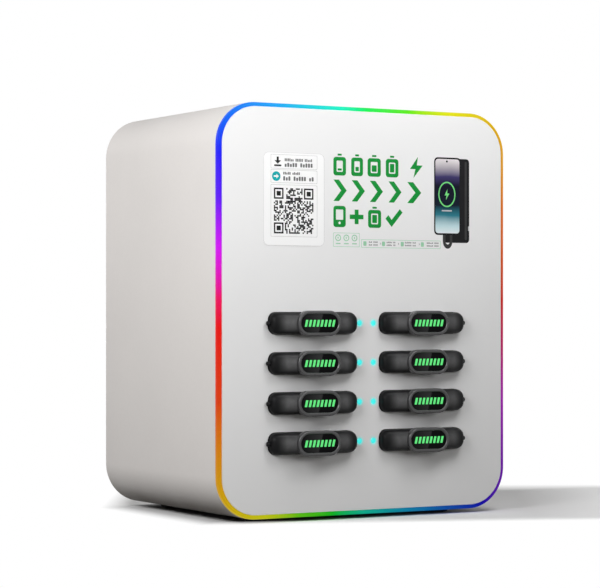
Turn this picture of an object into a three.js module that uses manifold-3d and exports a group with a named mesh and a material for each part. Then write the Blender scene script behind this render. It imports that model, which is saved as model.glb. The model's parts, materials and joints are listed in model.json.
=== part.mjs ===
// Power-bank rental station for a counter: eight power banks in two columns.
// Units are millimetres. +Z is up, the front faces -Y, and X runs to the right as seen from the front.
// The origin lies under the middle of the whole object, on the surface that it stands on.
import * as THREE from 'three';
import { mergeVertices } from 'three/addons/utils/BufferGeometryUtils.js';
import Module from 'manifold-3d';

const wasm = await Module();
wasm.setup();

// ---- Driving dimensions ----

// Body. The depth runs from the front panel's face to the shell's rear edge.
const bodyWidth = 240;
const bodyHeight = 291;
const bodyDepth = 183.5;
const cornerRadius = 30;
const cornerSteps = 6; // each quarter turn gets twice this many facets
const shellWall = 3;

// Clearances.
const seatGap = 0.2; // between fixed pieces that rest on each other
const fitGap = 0.3; // round a fixed piece in its cut-out
const slideGap = 0.6; // round a power bank in its bay

// Feet.
const footHeight = 3;
const footRadius = 9;
const footInsetX = 44;
const footInsetY = 26;

// Front panel, light guide ring and light strip.
const panelThick = 3;
const guideFace = 2.8; // width that shows from the front
const guideDepth = 4.2; // width that shows from the side
const guideRound = 2;
const guideFlange = 5; // reaches in behind the panel's edge
const stripThick = 1.5;
const stripDepth = 8;

// Power banks. Proud sizes are measured forwards from the panel's face.
const bankWidth = 70;
const bankThick = 15.3;
const bankEdgeRadius = 5.5;
const bankReach = 138.6; // from the panel's face to the bank's rear end
const noseEnd = 6.6;
const noseCrown = 11;
const noseCorner = 2;
const bankRearCorner = 6;
const ringWidth = 34.7;
const ringHeight = 17.8;
const ringProud = 12.4;
const ringDepth = 5;
const windowWidth = 30.2;
const windowHeight = 12.4;
const windowEnd = 7.8; // length of the window's curved ends
const windowThick = 1.6;
const windowRecess = 0.3;
const buttonRadius = 1.7;
const buttonProud = 2.5;
const buttonInside = 2.7;
const buttonTravel = 0.6;
const buttonBack = 2; // from the panel's face forwards to the button's middle

// Rows and columns.
const rowCount = 4;
const rowPitch = 28.1;
const lowestRow = 52.4; // above the shell's underside
const columnSpace = 21.2; // between the two columns of banks

// Racks, locks and contacts.
const rackWall = 2;
const rackReach = 146;
const lockBack = 20; // from the panel's face to the latches
const latchRadius = 2.4;
const latchTravel = 3.2;
const latchStandOff = 1;
const latchHead = 1.2;
const housingLength = 11;
const housingWidth = 14;
const housingHeight = 12;
const lockPlate = 1.5;
const boardThick = 1.6;
const contactWidth = 24;
const contactHeight = 8;
const contactGap = 0.6;
const contactBoardWidth = 60;

// Indicator light guides.
const indicatorOffset = 5.8;
const indicatorRadius = 1.85;
const indicatorProud = 0.3;
const indicatorBarWidth = 3;
const indicatorBarDepth = 4;

// Instruction label. Its lower edge is set from the top row.
const labelWidth = 49.4;
const labelHeight = 65.6;
const labelThick = 0.25;
const labelCorner = 4;
const labelAboveRow = 54.3;
const labelCentreX = -59.8;

// Rear cover, its screws and its vents.
const coverThick = 3;
const bossRadius = 5.5;
const bossLength = 20;
const bossBite = 1.5; // how far a boss reaches into the shell's wall
const screwRadius = 1.3;
const screwLength = 13;
const screwHeadRadius = 3;
const screwHeadHeight = 1.5;
const counterboreDepth = 1.7;
const ventWidth = 76;
const ventHeight = 3;
const ventPitch = 8;
const ventRows = 7;
const ventAboveFloor = 196;

// Power inlet and switch, both through the rear cover.
const flangeThick = 2;
const flangeRim = 2.5;
const outletHeight = 28; // above the shell's underside, for the inlet's and the switch's middles
const inletX = -62;
const inletWidth = 27;
const inletHeight = 20;
const inletDepth = 22;
const inletWall = 1.5;
const inletCavity = 17;
const inletPinWidth = 2;
const inletPinHeight = 4;
const inletPinLength = 11.5;
const inletPinSpacing = 14;
const inletEarthRaise = 4;
const switchX = -20;
const switchWidth = 15;
const switchHeight = 21;
const switchDepth = 15;
const switchWall = 2;
const switchCavity = 10;
const rockerHalfLength = 7.8;
const rockerGap = 0.4;
const rockerTilt = 7; // degrees either side of level
const rockerPivotDepth = 4; // from the flange's face to the pivot
const rockerPinRadius = 1;
const rockerEndDepth = 1.2;
const rockerMiddleDepth = 2;

// Boards and power supply inside.
const mainBoardWidth = 140;
const mainBoardHeight = 84;
const mainBoardStand = 24;
const mainBoardAboveFloor = 170;
const standOffRadius = 3;
const standOffInset = 6;
const supplyWidth = 110;
const supplyHeight = 30;
const supplyDepth = 96;
const supplyBehind = 40; // from the supply's rear to the rear cover
const terminalHeight = 9;

// ---- Places worked out from the sizes above ----

const overallDepth = ringProud + bodyDepth + flangeThick;
const frontY = -overallDepth / 2 + ringProud;
const backY = frontY + bodyDepth;
const floorZ = footHeight;
const middleZ = floorZ + bodyHeight / 2;
const columnOffset = columnSpace / 2 + bankWidth / 2;
const rackHalfWidth = bankWidth / 2 + slideGap + rackWall;
const bayHalfHeight = bankThick / 2 + slideGap;
const rowZ = (row) => floorZ + lowestRow + (rowCount - 1 - row) * rowPitch;
const rowMiddleZ = (rowZ(0) + rowZ(rowCount - 1)) / 2;
const rowSpan = (rowCount - 1) * rowPitch;
const lockY = frontY + lockBack;
const coverFront = backY - coverThick;

// ---- Materials ----

function finish(color, roughness, metalness) {
  return new THREE.MeshStandardMaterial({ color, roughness, metalness });
}

const shellWhite = finish(0xe0dcd4, 0.45, 0);
const panelWhite = finish(0xf4f4f4, 0.18, 0);
const guideClear = finish(0x9a5cf0, 0.25, 0);
const stripBoard = finish(0xf0f0e8, 0.5, 0);
const bankBlack = finish(0x1c1c1e, 0.42, 0);
const windowBlack = finish(0x050506, 0.08, 0);
const indicatorCyan = finish(0x3cfff5, 0.3, 0);
const labelPaper = finish(0xfafafa, 0.4, 0);
const coverGrey = finish(0xcfccc6, 0.55, 0);
const blackPlastic = finish(0x161616, 0.5, 0);
const rubberBlack = finish(0x202020, 0.9, 0);
const rackGrey = finish(0x3a3c40, 0.6, 0);
const boardGreen = finish(0x1f5b3a, 0.5, 0);
const steel = finish(0xb8b8bc, 0.35, 1);
const supplyMetal = finish(0xa9acb0, 0.4, 1);

// ---- Helpers ----

const station = new THREE.Group();

function add(name, geometry, material, x = 0, y = 0, z = 0, turnY = 0) {
  const mesh = new THREE.Mesh(geometry, material);
  mesh.name = name;
  mesh.position.set(x, y, z);
  mesh.rotation.y = turnY;
  station.add(mesh);
}

// A closed geometry as a solid that can be cut and joined.
function solid(geometry) {
  const bare = geometry.clone();
  bare.deleteAttribute('normal');
  bare.deleteAttribute('uv');
  const merged = mergeVertices(bare, 1e-4);
  return new wasm.Manifold(new wasm.Mesh({
    numProp: 3,
    vertProperties: new Float32Array(merged.attributes.position.array),
    triVerts: new Uint32Array(merged.index.array),
  }));
}

// A solid back as a geometry.
function geometryOf(shape) {
  const mesh = shape.getMesh();
  const geometry = new THREE.BufferGeometry();
  geometry.setAttribute('position', new THREE.BufferAttribute(new Float32Array(mesh.vertProperties), 3));
  geometry.setIndex(new THREE.BufferAttribute(new Uint32Array(mesh.triVerts), 1));
  geometry.computeVertexNormals();
  return geometry;
}

// Rounded rectangle about (x, y).
function roundedRect(width, height, radius, x = 0, y = 0, path = new THREE.Shape()) {
  const right = x + width / 2 - radius;
  const left = x - width / 2 + radius;
  const top = y + height / 2 - radius;
  const bottom = y - height / 2 + radius;
  path.absarc(right, bottom, radius, -Math.PI / 2, 0);
  path.absarc(right, top, radius, 0, Math.PI / 2);
  path.absarc(left, top, radius, Math.PI / 2, Math.PI);
  path.absarc(left, bottom, radius, Math.PI, 1.5 * Math.PI);
  path.closePath();
  return path;
}

function plainRect(width, height, x = 0, y = 0, path = new THREE.Shape()) {
  path.moveTo(x - width / 2, y - height / 2);
  path.lineTo(x + width / 2, y - height / 2);
  path.lineTo(x + width / 2, y + height / 2);
  path.lineTo(x - width / 2, y + height / 2);
  path.closePath();
  return path;
}

function circle(radius, x = 0, y = 0, path = new THREE.Shape()) {
  path.absarc(x, y, radius, 0, Math.PI);
  path.absarc(x, y, radius, Math.PI, 2 * Math.PI);
  path.closePath();
  return path;
}

// An oval whose ends are half ellipses, each endLength long.
function oval(width, height, endLength) {
  const shape = new THREE.Shape();
  const straight = width / 2 - endLength;
  shape.absellipse(straight, 0, endLength, height / 2, -Math.PI / 2, Math.PI / 2);
  shape.absellipse(-straight, 0, endLength, height / 2, Math.PI / 2, 1.5 * Math.PI);
  shape.closePath();
  return shape;
}

// A shape drawn in X and Z, carried along Y from nearY to farY.
function alongY(shape, nearY, farY, steps = 6, bevel = {}) {
  const settings = { depth: farY - nearY, curveSegments: steps, bevelEnabled: false, ...bevel };
  return new THREE.ExtrudeGeometry(shape, settings).rotateX(Math.PI / 2).translate(0, farY, 0);
}

// A shape drawn in X and Y, carried up Z from lowZ to highZ.
function alongZ(shape, lowZ, highZ, steps = 6) {
  const settings = { depth: highZ - lowZ, curveSegments: steps, bevelEnabled: false };
  return new THREE.ExtrudeGeometry(shape, settings).translate(0, 0, lowZ);
}

// A cylinder along X from nearX to farX.
function rodX(radius, nearX, farX, y, z, sides = 12) {
  const length = Math.abs(farX - nearX);
  const rod = new THREE.CylinderGeometry(radius, radius, length, sides);
  return rod.rotateZ(Math.PI / 2).translate((nearX + farX) / 2, y, z);
}

// A cylinder along Y from nearY to farY.
function rodY(radius, nearY, farY, x, z, sides = 12) {
  const rod = new THREE.CylinderGeometry(radius, radius, farY - nearY, sides);
  return rod.translate(x, (nearY + farY) / 2, z);
}

// A box given by its lowest and highest corners.
function block(low, high) {
  const box = new THREE.BoxGeometry(high[0] - low[0], high[1] - low[1], high[2] - low[2]);
  return box.translate((low[0] + high[0]) / 2, (low[1] + high[1]) / 2, (low[2] + high[2]) / 2);
}

function cutAll(whole, cuts) {
  return cuts.reduce((rest, cut) => rest.subtract(solid(cut)), whole);
}

function joinAll(geometries) {
  return geometries.slice(1).reduce((whole, piece) => whole.add(solid(piece)), solid(geometries[0]));
}

// The body's outline, drawn in by an inset on all sides.
function bodyOutline(inset, path) {
  return roundedRect(
    bodyWidth - 2 * inset, bodyHeight - 2 * inset, cornerRadius - inset, 0, middleZ, path);
}

function bodyRing(outerInset, innerInset, nearY, farY) {
  const outline = bodyOutline(outerInset);
  outline.holes.push(bodyOutline(innerInset, new THREE.Path()));
  return alongY(outline, nearY, farY, cornerSteps);
}

// The four screw places: one in each corner of the shell, on the corner's diagonal.
function screwPlaces() {
  const reach = (cornerRadius - shellWall - bossRadius + bossBite) * Math.SQRT1_2;
  const x = bodyWidth / 2 - cornerRadius + reach;
  const z = bodyHeight / 2 - cornerRadius + reach;
  return [[-x, middleZ + z], [x, middleZ + z], [-x, middleZ - z], [x, middleZ - z]];
}

// ---- Outer shell: a sleeve with a screw boss in each rear corner ----

function outerShell() {
  const sleeve = bodyRing(0, shellWall, frontY + guideDepth + seatGap, backY);
  const bossEnd = coverFront - seatGap;
  const bosses = screwPlaces().map(([x, z]) => rodY(bossRadius, bossEnd - bossLength, bossEnd, x, z, 16));
  const pilots = screwPlaces().map(([x, z]) => rodY(
    screwRadius + fitGap, bossEnd - screwLength - fitGap, bossEnd + 1, x, z));
  add('outer_shell', geometryOf(cutAll(joinAll([sleeve, ...bosses]), pilots)), shellWhite);
}

// ---- Feet ----

function feet() {
  const profile = [
    new THREE.Vector2(0, 0),
    new THREE.Vector2(footRadius - 1, 0),
    new THREE.Vector2(footRadius, 0.8),
    new THREE.Vector2(footRadius, footHeight),
    new THREE.Vector2(0, footHeight),
  ];
  const foot = new THREE.LatheGeometry(profile, 20).rotateX(Math.PI / 2);
  const x = bodyWidth / 2 - footInsetX;
  const places = [
    ['foot_front_left', -x, frontY + footInsetY],
    ['foot_front_right', x, frontY + footInsetY],
    ['foot_rear_left', -x, backY - footInsetY],
    ['foot_rear_right', x, backY - footInsetY],
  ];
  for (const [name, footX, footY] of places) {
    add(name, foot, rubberBlack, footX, footY, 0);
  }
}

// ---- Front panel: slots for the banks and holes for the indicators ----

function frontPanel() {
  const panel = bodyOutline(guideFace + seatGap);
  for (const side of [-1, 1]) {
    for (let row = 0; row < rowCount; row += 1) {
      const slot = roundedRect(
        bankWidth + 2 * slideGap, bankThick + 2 * slideGap, bankEdgeRadius + slideGap,
        side * columnOffset, rowZ(row), new THREE.Path());
      panel.holes.push(slot);
      panel.holes.push(circle(
        indicatorRadius + seatGap, side * indicatorOffset, rowZ(row), new THREE.Path()));
    }
  }
  add('front_panel', alongY(panel, frontY, frontY + panelThick, 3), panelWhite);
}

// ---- Light guide ring: round outer front edge, and a flange behind the panel ----

function lightGuide() {
  const bevel = {
    bevelEnabled: true, bevelThickness: guideRound, bevelSize: guideRound,
    bevelOffset: -guideRound, bevelSegments: 2,
  };
  const rounded = alongY(
    bodyOutline(0), frontY + guideRound, frontY + guideDepth + guideRound, cornerSteps, bevel);
  const slab = block(
    [-bodyWidth, frontY - 1, middleZ - bodyHeight], [bodyWidth, frontY + guideDepth, middleZ + bodyHeight]);
  const window = alongY(bodyOutline(guideFace), frontY - 1, frontY + guideDepth + 1, cornerSteps);
  const face = solid(rounded).intersect(solid(slab)).subtract(solid(window));
  const flange = bodyRing(
    guideFace / 2, guideFace + guideFlange, frontY + panelThick + seatGap, frontY + guideDepth);
  add('light_guide_ring', geometryOf(face.add(solid(flange))), guideClear);
}

// ---- Light strip: a thin band inside the shell, behind the guide's flange ----

function lightStrip() {
  const outer = shellWall + fitGap;
  const near = frontY + guideDepth + seatGap;
  add('light_strip', bodyRing(outer, outer + stripThick, near, near + stripDepth), stripBoard);
}

// ---- Instruction label, flat on the panel ----

function instructionLabel() {
  const middle = rowZ(0) + labelAboveRow + labelHeight / 2;
  const label = roundedRect(labelWidth, labelHeight, labelCorner, labelCentreX, middle);
  add('instruction_label', alongY(label, frontY - labelThick, frontY, 2), labelPaper);
}

// ---- Power banks ----

// The plan of a bank: a bowed nose between small corners, and round rear corners.
// Y is 0 at the panel's face, and the outer flank is at -X.
function bankPlan() {
  const half = bankWidth / 2;
  const rise = noseCrown - noseEnd;
  const bowRadius = (half * half + rise * rise) / (2 * rise);
  const bowAngle = Math.asin((half - noseCorner) / bowRadius);
  const plan = new THREE.Shape();
  plan.moveTo(-half, bankReach - bankRearCorner);
  plan.lineTo(-half, -noseEnd + noseCorner);
  plan.lineTo(-half + noseCorner / 3, -noseEnd + noseCorner / 3);
  plan.absarc(0, bowRadius - noseCrown, bowRadius, 1.5 * Math.PI - bowAngle, 1.5 * Math.PI + bowAngle);
  plan.lineTo(half - noseCorner / 3, -noseEnd + noseCorner / 3);
  plan.lineTo(half, -noseEnd + noseCorner);
  plan.absarc(half - bankRearCorner, bankReach - bankRearCorner, bankRearCorner, 0, Math.PI / 2);
  plan.absarc(-half + bankRearCorner, bankReach - bankRearCorner, bankRearCorner, Math.PI / 2, Math.PI);
  plan.closePath();
  return plan;
}

function bankCase() {
  const half = bankWidth / 2;
  const section = roundedRect(bankWidth, bankThick, bankEdgeRadius);
  const bar = solid(alongY(section, -noseCrown - 1, bankReach + 1, 2));
  const plan = solid(alongZ(bankPlan(), -bankThick, bankThick, 3));
  const ring = alongY(
    roundedRect(ringWidth, ringHeight, ringHeight / 2), -ringProud, ringDepth - ringProud, 3);
  const pocket = oval(windowWidth + 2 * fitGap, windowHeight + 2 * fitGap, windowEnd + fitGap);
  const pocketEnd = -ringProud + windowRecess + windowThick + fitGap;
  const notch = latchRadius + fitGap;
  const latchIn = latchTravel - latchStandOff + fitGap;
  return geometryOf(cutAll(bar.intersect(plan).add(solid(ring)), [
    alongY(pocket, -ringProud - 1, pocketEnd, 4),
    rodX(buttonRadius + fitGap, -half - 1, -half + buttonInside + buttonTravel + fitGap, -buttonBack, 0),
    block([-half - 1, lockBack - notch, -notch], [-half + latchIn, lockBack + notch, notch]),
  ]));
}

function bankWindow() {
  const near = -ringProud + windowRecess;
  return alongY(oval(windowWidth, windowHeight, windowEnd), near, near + windowThick, 4);
}

// A round button with an eased rim, pointing out of the bank's outer flank.
function bankButton() {
  const length = buttonInside + buttonProud;
  const profile = [
    new THREE.Vector2(0, 0),
    new THREE.Vector2(buttonRadius, 0),
    new THREE.Vector2(buttonRadius, length - 0.5),
    new THREE.Vector2(buttonRadius - 0.5, length),
    new THREE.Vector2(0, length),
  ];
  return new THREE.LatheGeometry(profile, 12)
    .rotateZ(Math.PI / 2)
    .translate(-bankWidth / 2 + buttonInside, -buttonBack, 0);
}

// The right column's banks are turned half a turn about Y, so their buttons face outwards too.
function forEachBay(visit) {
  for (const side of [-1, 1]) {
    for (let row = 0; row < rowCount; row += 1) {
      const number = row + 1 + (side > 0 ? rowCount : 0);
      visit(number, side * columnOffset, rowZ(row), side > 0 ? Math.PI : 0);
    }
  }
}

function powerBanks() {
  const shapes = { case: bankCase(), window: bankWindow(), button: bankButton() };
  forEachBay((number, x, z, turn) => {
    add(`bank_${number}_case`, shapes.case, bankBlack, x, frontY, z, turn);
    add(`bank_${number}_window`, shapes.window, windowBlack, x, frontY, z, turn);
    add(`bank_${number}_button`, shapes.button, bankBlack, x, frontY, z, turn);
  });
}

// ---- Racks: a bay for each bank, hollow webs between bays, a latch window in each outer wall ----

function rack(name, side) {
  const bayHeight = 2 * bayHalfHeight;
  const height = rowSpan + bayHeight + 2 * rackWall;
  const profile = plainRect(2 * rackHalfWidth, height, side * columnOffset, rowMiddleZ);
  for (let row = 0; row < rowCount; row += 1) {
    profile.holes.push(plainRect(
      bankWidth + 2 * slideGap, bayHeight, side * columnOffset, rowZ(row), new THREE.Path()));
    if (row > 0) {
      profile.holes.push(plainRect(
        bankWidth + 2 * slideGap, rowPitch - bayHeight - 2 * rackWall,
        side * columnOffset, rowZ(row) + rowPitch / 2, new THREE.Path()));
    }
  }
  const body = alongY(profile, frontY + panelThick + seatGap, frontY + rackReach);
  const outerWall = side * (columnOffset + rackHalfWidth - rackWall / 2);
  const reach = latchRadius + fitGap;
  const windows = [];
  for (let row = 0; row < rowCount; row += 1) {
    windows.push(block(
      [outerWall - rackWall, lockY - reach, rowZ(row) - reach],
      [outerWall + rackWall, lockY + reach, rowZ(row) + reach]));
  }
  add(name, geometryOf(cutAll(solid(body), windows)), rackGrey);
}

// ---- Locks: a plate with four coil housings on each rack's outer wall, and a latch in each ----

// X positions here are measured from the column's middle towards its outer side.
const lockPlateStart = rackHalfWidth + seatGap;
const housingEnd = lockPlateStart + lockPlate + housingLength;
const latchTip = bankWidth / 2 + latchStandOff;

function lockHousings(name, side) {
  const boxBetween = (near, far, halfY, lowZ, highZ) => block(
    [Math.min(side * near, side * far) + side * columnOffset, lockY - halfY, lowZ],
    [Math.max(side * near, side * far) + side * columnOffset, lockY + halfY, highZ]);
  const plate = boxBetween(
    lockPlateStart, lockPlateStart + lockPlate, housingWidth / 2,
    rowZ(rowCount - 1) - housingHeight / 2, rowZ(0) + housingHeight / 2);
  const coils = [];
  const bores = [];
  for (let row = 0; row < rowCount; row += 1) {
    const z = rowZ(row);
    coils.push(boxBetween(
      lockPlateStart + lockPlate / 2, housingEnd, housingWidth / 2 - 1,
      z - housingHeight / 2 + 1, z + housingHeight / 2 - 1));
    bores.push(rodX(
      latchRadius + fitGap, side * (columnOffset + lockPlateStart - 1),
      side * (columnOffset + housingEnd + 1), lockY, z));
  }
  add(name, geometryOf(cutAll(joinAll([plate, ...coils]), bores)), blackPlastic);
}

// A latch: a round bolt with a wide head behind its housing, drawn with its tip towards +X.
function lockLatches() {
  const headStart = housingEnd + latchTravel + fitGap;
  const bolt = rodX(latchRadius, -headStart - latchHead / 2, -latchTip, lockY, 0);
  const head = rodX(latchRadius + 1.2, -headStart - latchHead, -headStart, lockY, 0);
  const latch = geometryOf(joinAll([bolt, head]));
  forEachBay((number, x, z, turn) => {
    add(`lock_latch_${number}`, latch, steel, x, 0, z, turn);
  });
}

// ---- Contact boards: a board behind each rack with a contact block in each bay ----

function contactBoard(name, side) {
  const near = frontY + rackReach + seatGap;
  const x = side * columnOffset;
  const halfHeight = rowSpan / 2 + bayHalfHeight;
  const pieces = [block(
    [x - contactBoardWidth / 2, near, rowMiddleZ - halfHeight],
    [x + contactBoardWidth / 2, near + boardThick, rowMiddleZ + halfHeight])];
  for (let row = 0; row < rowCount; row += 1) {
    pieces.push(block(
      [x - contactWidth / 2, frontY + bankReach + contactGap, rowZ(row) - contactHeight / 2],
      [x + contactWidth / 2, near + boardThick / 2, rowZ(row) + contactHeight / 2]));
  }
  add(name, geometryOf(joinAll(pieces)), boardGreen);
}

// ---- Indicator light guides: an upright bar with a pin through the panel at each row ----

function indicatorGuide(name, side) {
  const near = frontY + panelThick + seatGap;
  const x = side * indicatorOffset;
  const pieces = [block(
    [x - indicatorBarWidth / 2, near, rowZ(rowCount - 1) - 4],
    [x + indicatorBarWidth / 2, near + indicatorBarDepth, rowZ(0) + 4])];
  for (let row = 0; row < rowCount; row += 1) {
    pieces.push(rodY(indicatorRadius, frontY - indicatorProud, near + 0.5, x, rowZ(row)));
  }
  add(name, geometryOf(joinAll(pieces)), indicatorCyan);
}

// ---- Rear cover ----

const outletZ = floorZ + outletHeight;

function rearCover() {
  const outline = bodyOutline(shellWall + fitGap);
  for (let row = 0; row < ventRows; row += 1) {
    outline.holes.push(roundedRect(
      ventWidth, ventHeight, ventHeight / 2, 0,
      floorZ + ventAboveFloor + row * ventPitch, new THREE.Path()));
  }
  outline.holes.push(plainRect(
    inletWidth + 2 * fitGap, inletHeight + 2 * fitGap, inletX, outletZ, new THREE.Path()));
  outline.holes.push(plainRect(
    switchWidth + 2 * fitGap, switchHeight + 2 * fitGap, switchX, outletZ, new THREE.Path()));
  for (const [x, z] of screwPlaces()) {
    outline.holes.push(circle(screwRadius + fitGap, x, z, new THREE.Path()));
  }
  const plate = solid(alongY(outline, coverFront, backY, 3));
  const counterbores = screwPlaces().map(([x, z]) => rodY(
    screwHeadRadius + fitGap, backY - counterboreDepth, backY + 1, x, z, 16));
  add('rear_cover', geometryOf(cutAll(plate, counterbores)), coverGrey);
}

// Screws with a cross recess, each in its own counterbore.
function coverScrews() {
  const headEnd = backY - counterboreDepth + seatGap + screwHeadHeight;
  const slotHalf = 0.4;
  const slotReach = 1.6;
  screwPlaces().forEach(([x, z], index) => {
    const screw = joinAll([
      rodY(screwRadius, headEnd - screwHeadHeight - screwLength + counterboreDepth, headEnd - 0.5, x, z, 10),
      rodY(screwHeadRadius, headEnd - screwHeadHeight, headEnd, x, z, 16),
    ]);
    const recess = [
      block([x - slotHalf, headEnd - 0.8, z - slotReach], [x + slotHalf, headEnd + 1, z + slotReach]),
      block([x - slotReach, headEnd - 0.8, z - slotHalf], [x + slotReach, headEnd + 1, z + slotHalf]),
    ];
    add(`rear_cover_screw_${index + 1}`, geometryOf(cutAll(screw, recess)), steel);
  });
}

// ---- Power inlet: a flanged socket with three pins ----

function powerInlet() {
  const face = backY + flangeThick;
  const flange = roundedRect(inletWidth + 2 * flangeRim, inletHeight + 2 * flangeRim, 2, inletX, outletZ);
  const body = joinAll([
    alongY(flange, backY + seatGap, face, 3),
    block(
      [inletX - inletWidth / 2, face - inletDepth, outletZ - inletHeight / 2],
      [inletX + inletWidth / 2, face - 0.5, outletZ + inletHeight / 2]),
  ]);
  const cavity = roundedRect(
    inletWidth - 2 * inletWall, inletHeight - 2 * inletWall, 3, inletX, outletZ);
  const socket = body.subtract(solid(alongY(cavity, face - inletCavity, face + 1, 3)));
  const pinPlaces = [[-inletPinSpacing / 2, -1], [inletPinSpacing / 2, -1], [0, inletEarthRaise]];
  const pins = pinPlaces.map(([x, z]) => block(
    [inletX + x - inletPinWidth / 2, face - inletCavity - 0.5, outletZ + z - inletPinHeight / 2],
    [inletX + x + inletPinWidth / 2, face - inletCavity + inletPinLength, outletZ + z + inletPinHeight / 2]));
  add('power_inlet', geometryOf(pins.reduce((whole, pin) => whole.add(solid(pin)), socket)), blackPlastic);
}

// ---- Power switch: a flanged housing and a rocker on a pivot along X ----

const switchFace = backY + flangeThick;
const rockerPivotY = switchFace - rockerPivotDepth;

function switchHousing() {
  const flange = roundedRect(
    switchWidth + 2 * flangeRim, switchHeight + 2 * flangeRim, 2, switchX, outletZ);
  const halfX = switchWidth / 2;
  const halfZ = switchHeight / 2;
  const body = joinAll([
    alongY(flange, backY + seatGap, switchFace, 3),
    block([switchX - halfX, switchFace - switchDepth, outletZ - halfZ],
      [switchX + halfX, switchFace - 0.5, outletZ + halfZ]),
  ]);
  const cuts = [
    block([switchX - halfX + switchWall, switchFace - switchCavity, outletZ - halfZ + switchWall],
      [switchX + halfX - switchWall, switchFace + 1, outletZ + halfZ - switchWall]),
    rodX(rockerPinRadius + fitGap, switchX - halfX + 0.5, switchX + halfX - 0.5, rockerPivotY, outletZ),
  ];
  add('switch_housing', geometryOf(cutAll(body, cuts)), blackPlastic);
}

// The rocker lies pressed at its upper end: level would be rockerTilt degrees back.
function switchRocker() {
  const halfX = switchWidth / 2 - switchWall - rockerGap;
  const end = rockerPivotDepth - rockerEndDepth;
  const middle = rockerPivotDepth - rockerMiddleDepth;
  const profile = new THREE.Shape();
  profile.moveTo(end, -rockerHalfLength);
  profile.lineTo(middle, 0);
  profile.lineTo(end, rockerHalfLength);
  profile.lineTo(0.6, rockerHalfLength);
  profile.lineTo(-2.4, 3);
  profile.lineTo(-2.4, -3);
  profile.lineTo(0.6, -rockerHalfLength);
  profile.closePath();
  // Drawn in Y and Z, then carried along X.
  const paddle = new THREE.ExtrudeGeometry(profile, { depth: 2 * halfX, bevelEnabled: false });
  paddle.applyMatrix4(new THREE.Matrix4().makeBasis(
    new THREE.Vector3(0, 1, 0), new THREE.Vector3(0, 0, 1), new THREE.Vector3(1, 0, 0)));
  paddle.translate(-halfX, 0, 0);
  const pinReach = switchWidth / 2 - 0.5 - fitGap;
  const rocker = geometryOf(joinAll([paddle, rodX(rockerPinRadius, -pinReach, pinReach, 0, 0)]));
  rocker.rotateX(THREE.MathUtils.degToRad(rockerTilt));
  rocker.translate(switchX, rockerPivotY, outletZ);
  add('switch_rocker', rocker, blackPlastic);
}

// ---- Main board: stands off the rear cover, with its larger parts on it ----

function mainBoard() {
  const lowZ = floorZ + mainBoardAboveFloor;
  const boardY = coverFront - mainBoardStand;
  const half = mainBoardWidth / 2;
  const pieces = [block(
    [-half, boardY - boardThick, lowZ], [half, boardY, lowZ + mainBoardHeight])];
  for (const x of [-half + standOffInset, half - standOffInset]) {
    for (const z of [lowZ + standOffInset, lowZ + mainBoardHeight - standOffInset]) {
      pieces.push(rodY(standOffRadius, boardY - 0.5, coverFront - seatGap, x, z, 8));
    }
  }
  // Each part on the board: left, bottom, width, height and how far it stands off.
  const parts = [
    [-50, 44, 34, 28, 3], [4, 48, 22, 22, 2.2], [38, 40, 18, 30, 8],
    [-56, 8, 40, 8, 7], [-8, 8, 40, 8, 7], [40, 8, 16, 10, 9],
  ];
  for (const [left, bottom, width, height, stand] of parts) {
    pieces.push(block(
      [left, boardY - boardThick - stand, lowZ + bottom],
      [left + width, boardY - boardThick / 2, lowZ + bottom + height]));
  }
  add('main_board', geometryOf(joinAll(pieces)), boardGreen);
}

// ---- Power supply: a metal box on the shell's floor, with a terminal block at its rear ----

function powerSupply() {
  const low = floorZ + shellWall + seatGap;
  const rear = coverFront - supplyBehind;
  const half = supplyWidth / 2;
  add('power_supply', geometryOf(joinAll([
    block([-half, rear - supplyDepth, low], [half, rear, low + supplyHeight]),
    block([-half + 8, rear - 1, low + 4], [half - 30, rear + terminalHeight, low + 4 + terminalHeight]),
  ])), supplyMetal);
}

// ---- Assembly ----

outerShell();
feet();
frontPanel();
lightGuide();
lightStrip();
instructionLabel();
powerBanks();
rack('left_rack', -1);
rack('right_rack', 1);
lockHousings('left_lock_housings', -1);
lockHousings('right_lock_housings', 1);
lockLatches();
contactBoard('left_contact_board', -1);
contactBoard('right_contact_board', 1);
indicatorGuide('left_indicator_guide', -1);
indicatorGuide('right_indicator_guide', 1);
rearCover();
coverScrews();
powerInlet();
switchHousing();
switchRocker();
mainBoard();
powerSupply();

export default station;
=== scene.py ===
"""Models and finishes a countertop power-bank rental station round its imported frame.

Every size that belongs to the frame is read from it. The finer sizes and the colours are properties,
so the sidebar panel can change them before an operator is run again.
"""

import json
import math

import bmesh
import bpy
import numpy as np
from bpy.props import FloatProperty, FloatVectorProperty, IntProperty, PointerProperty
from mathutils import Matrix, Vector


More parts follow.
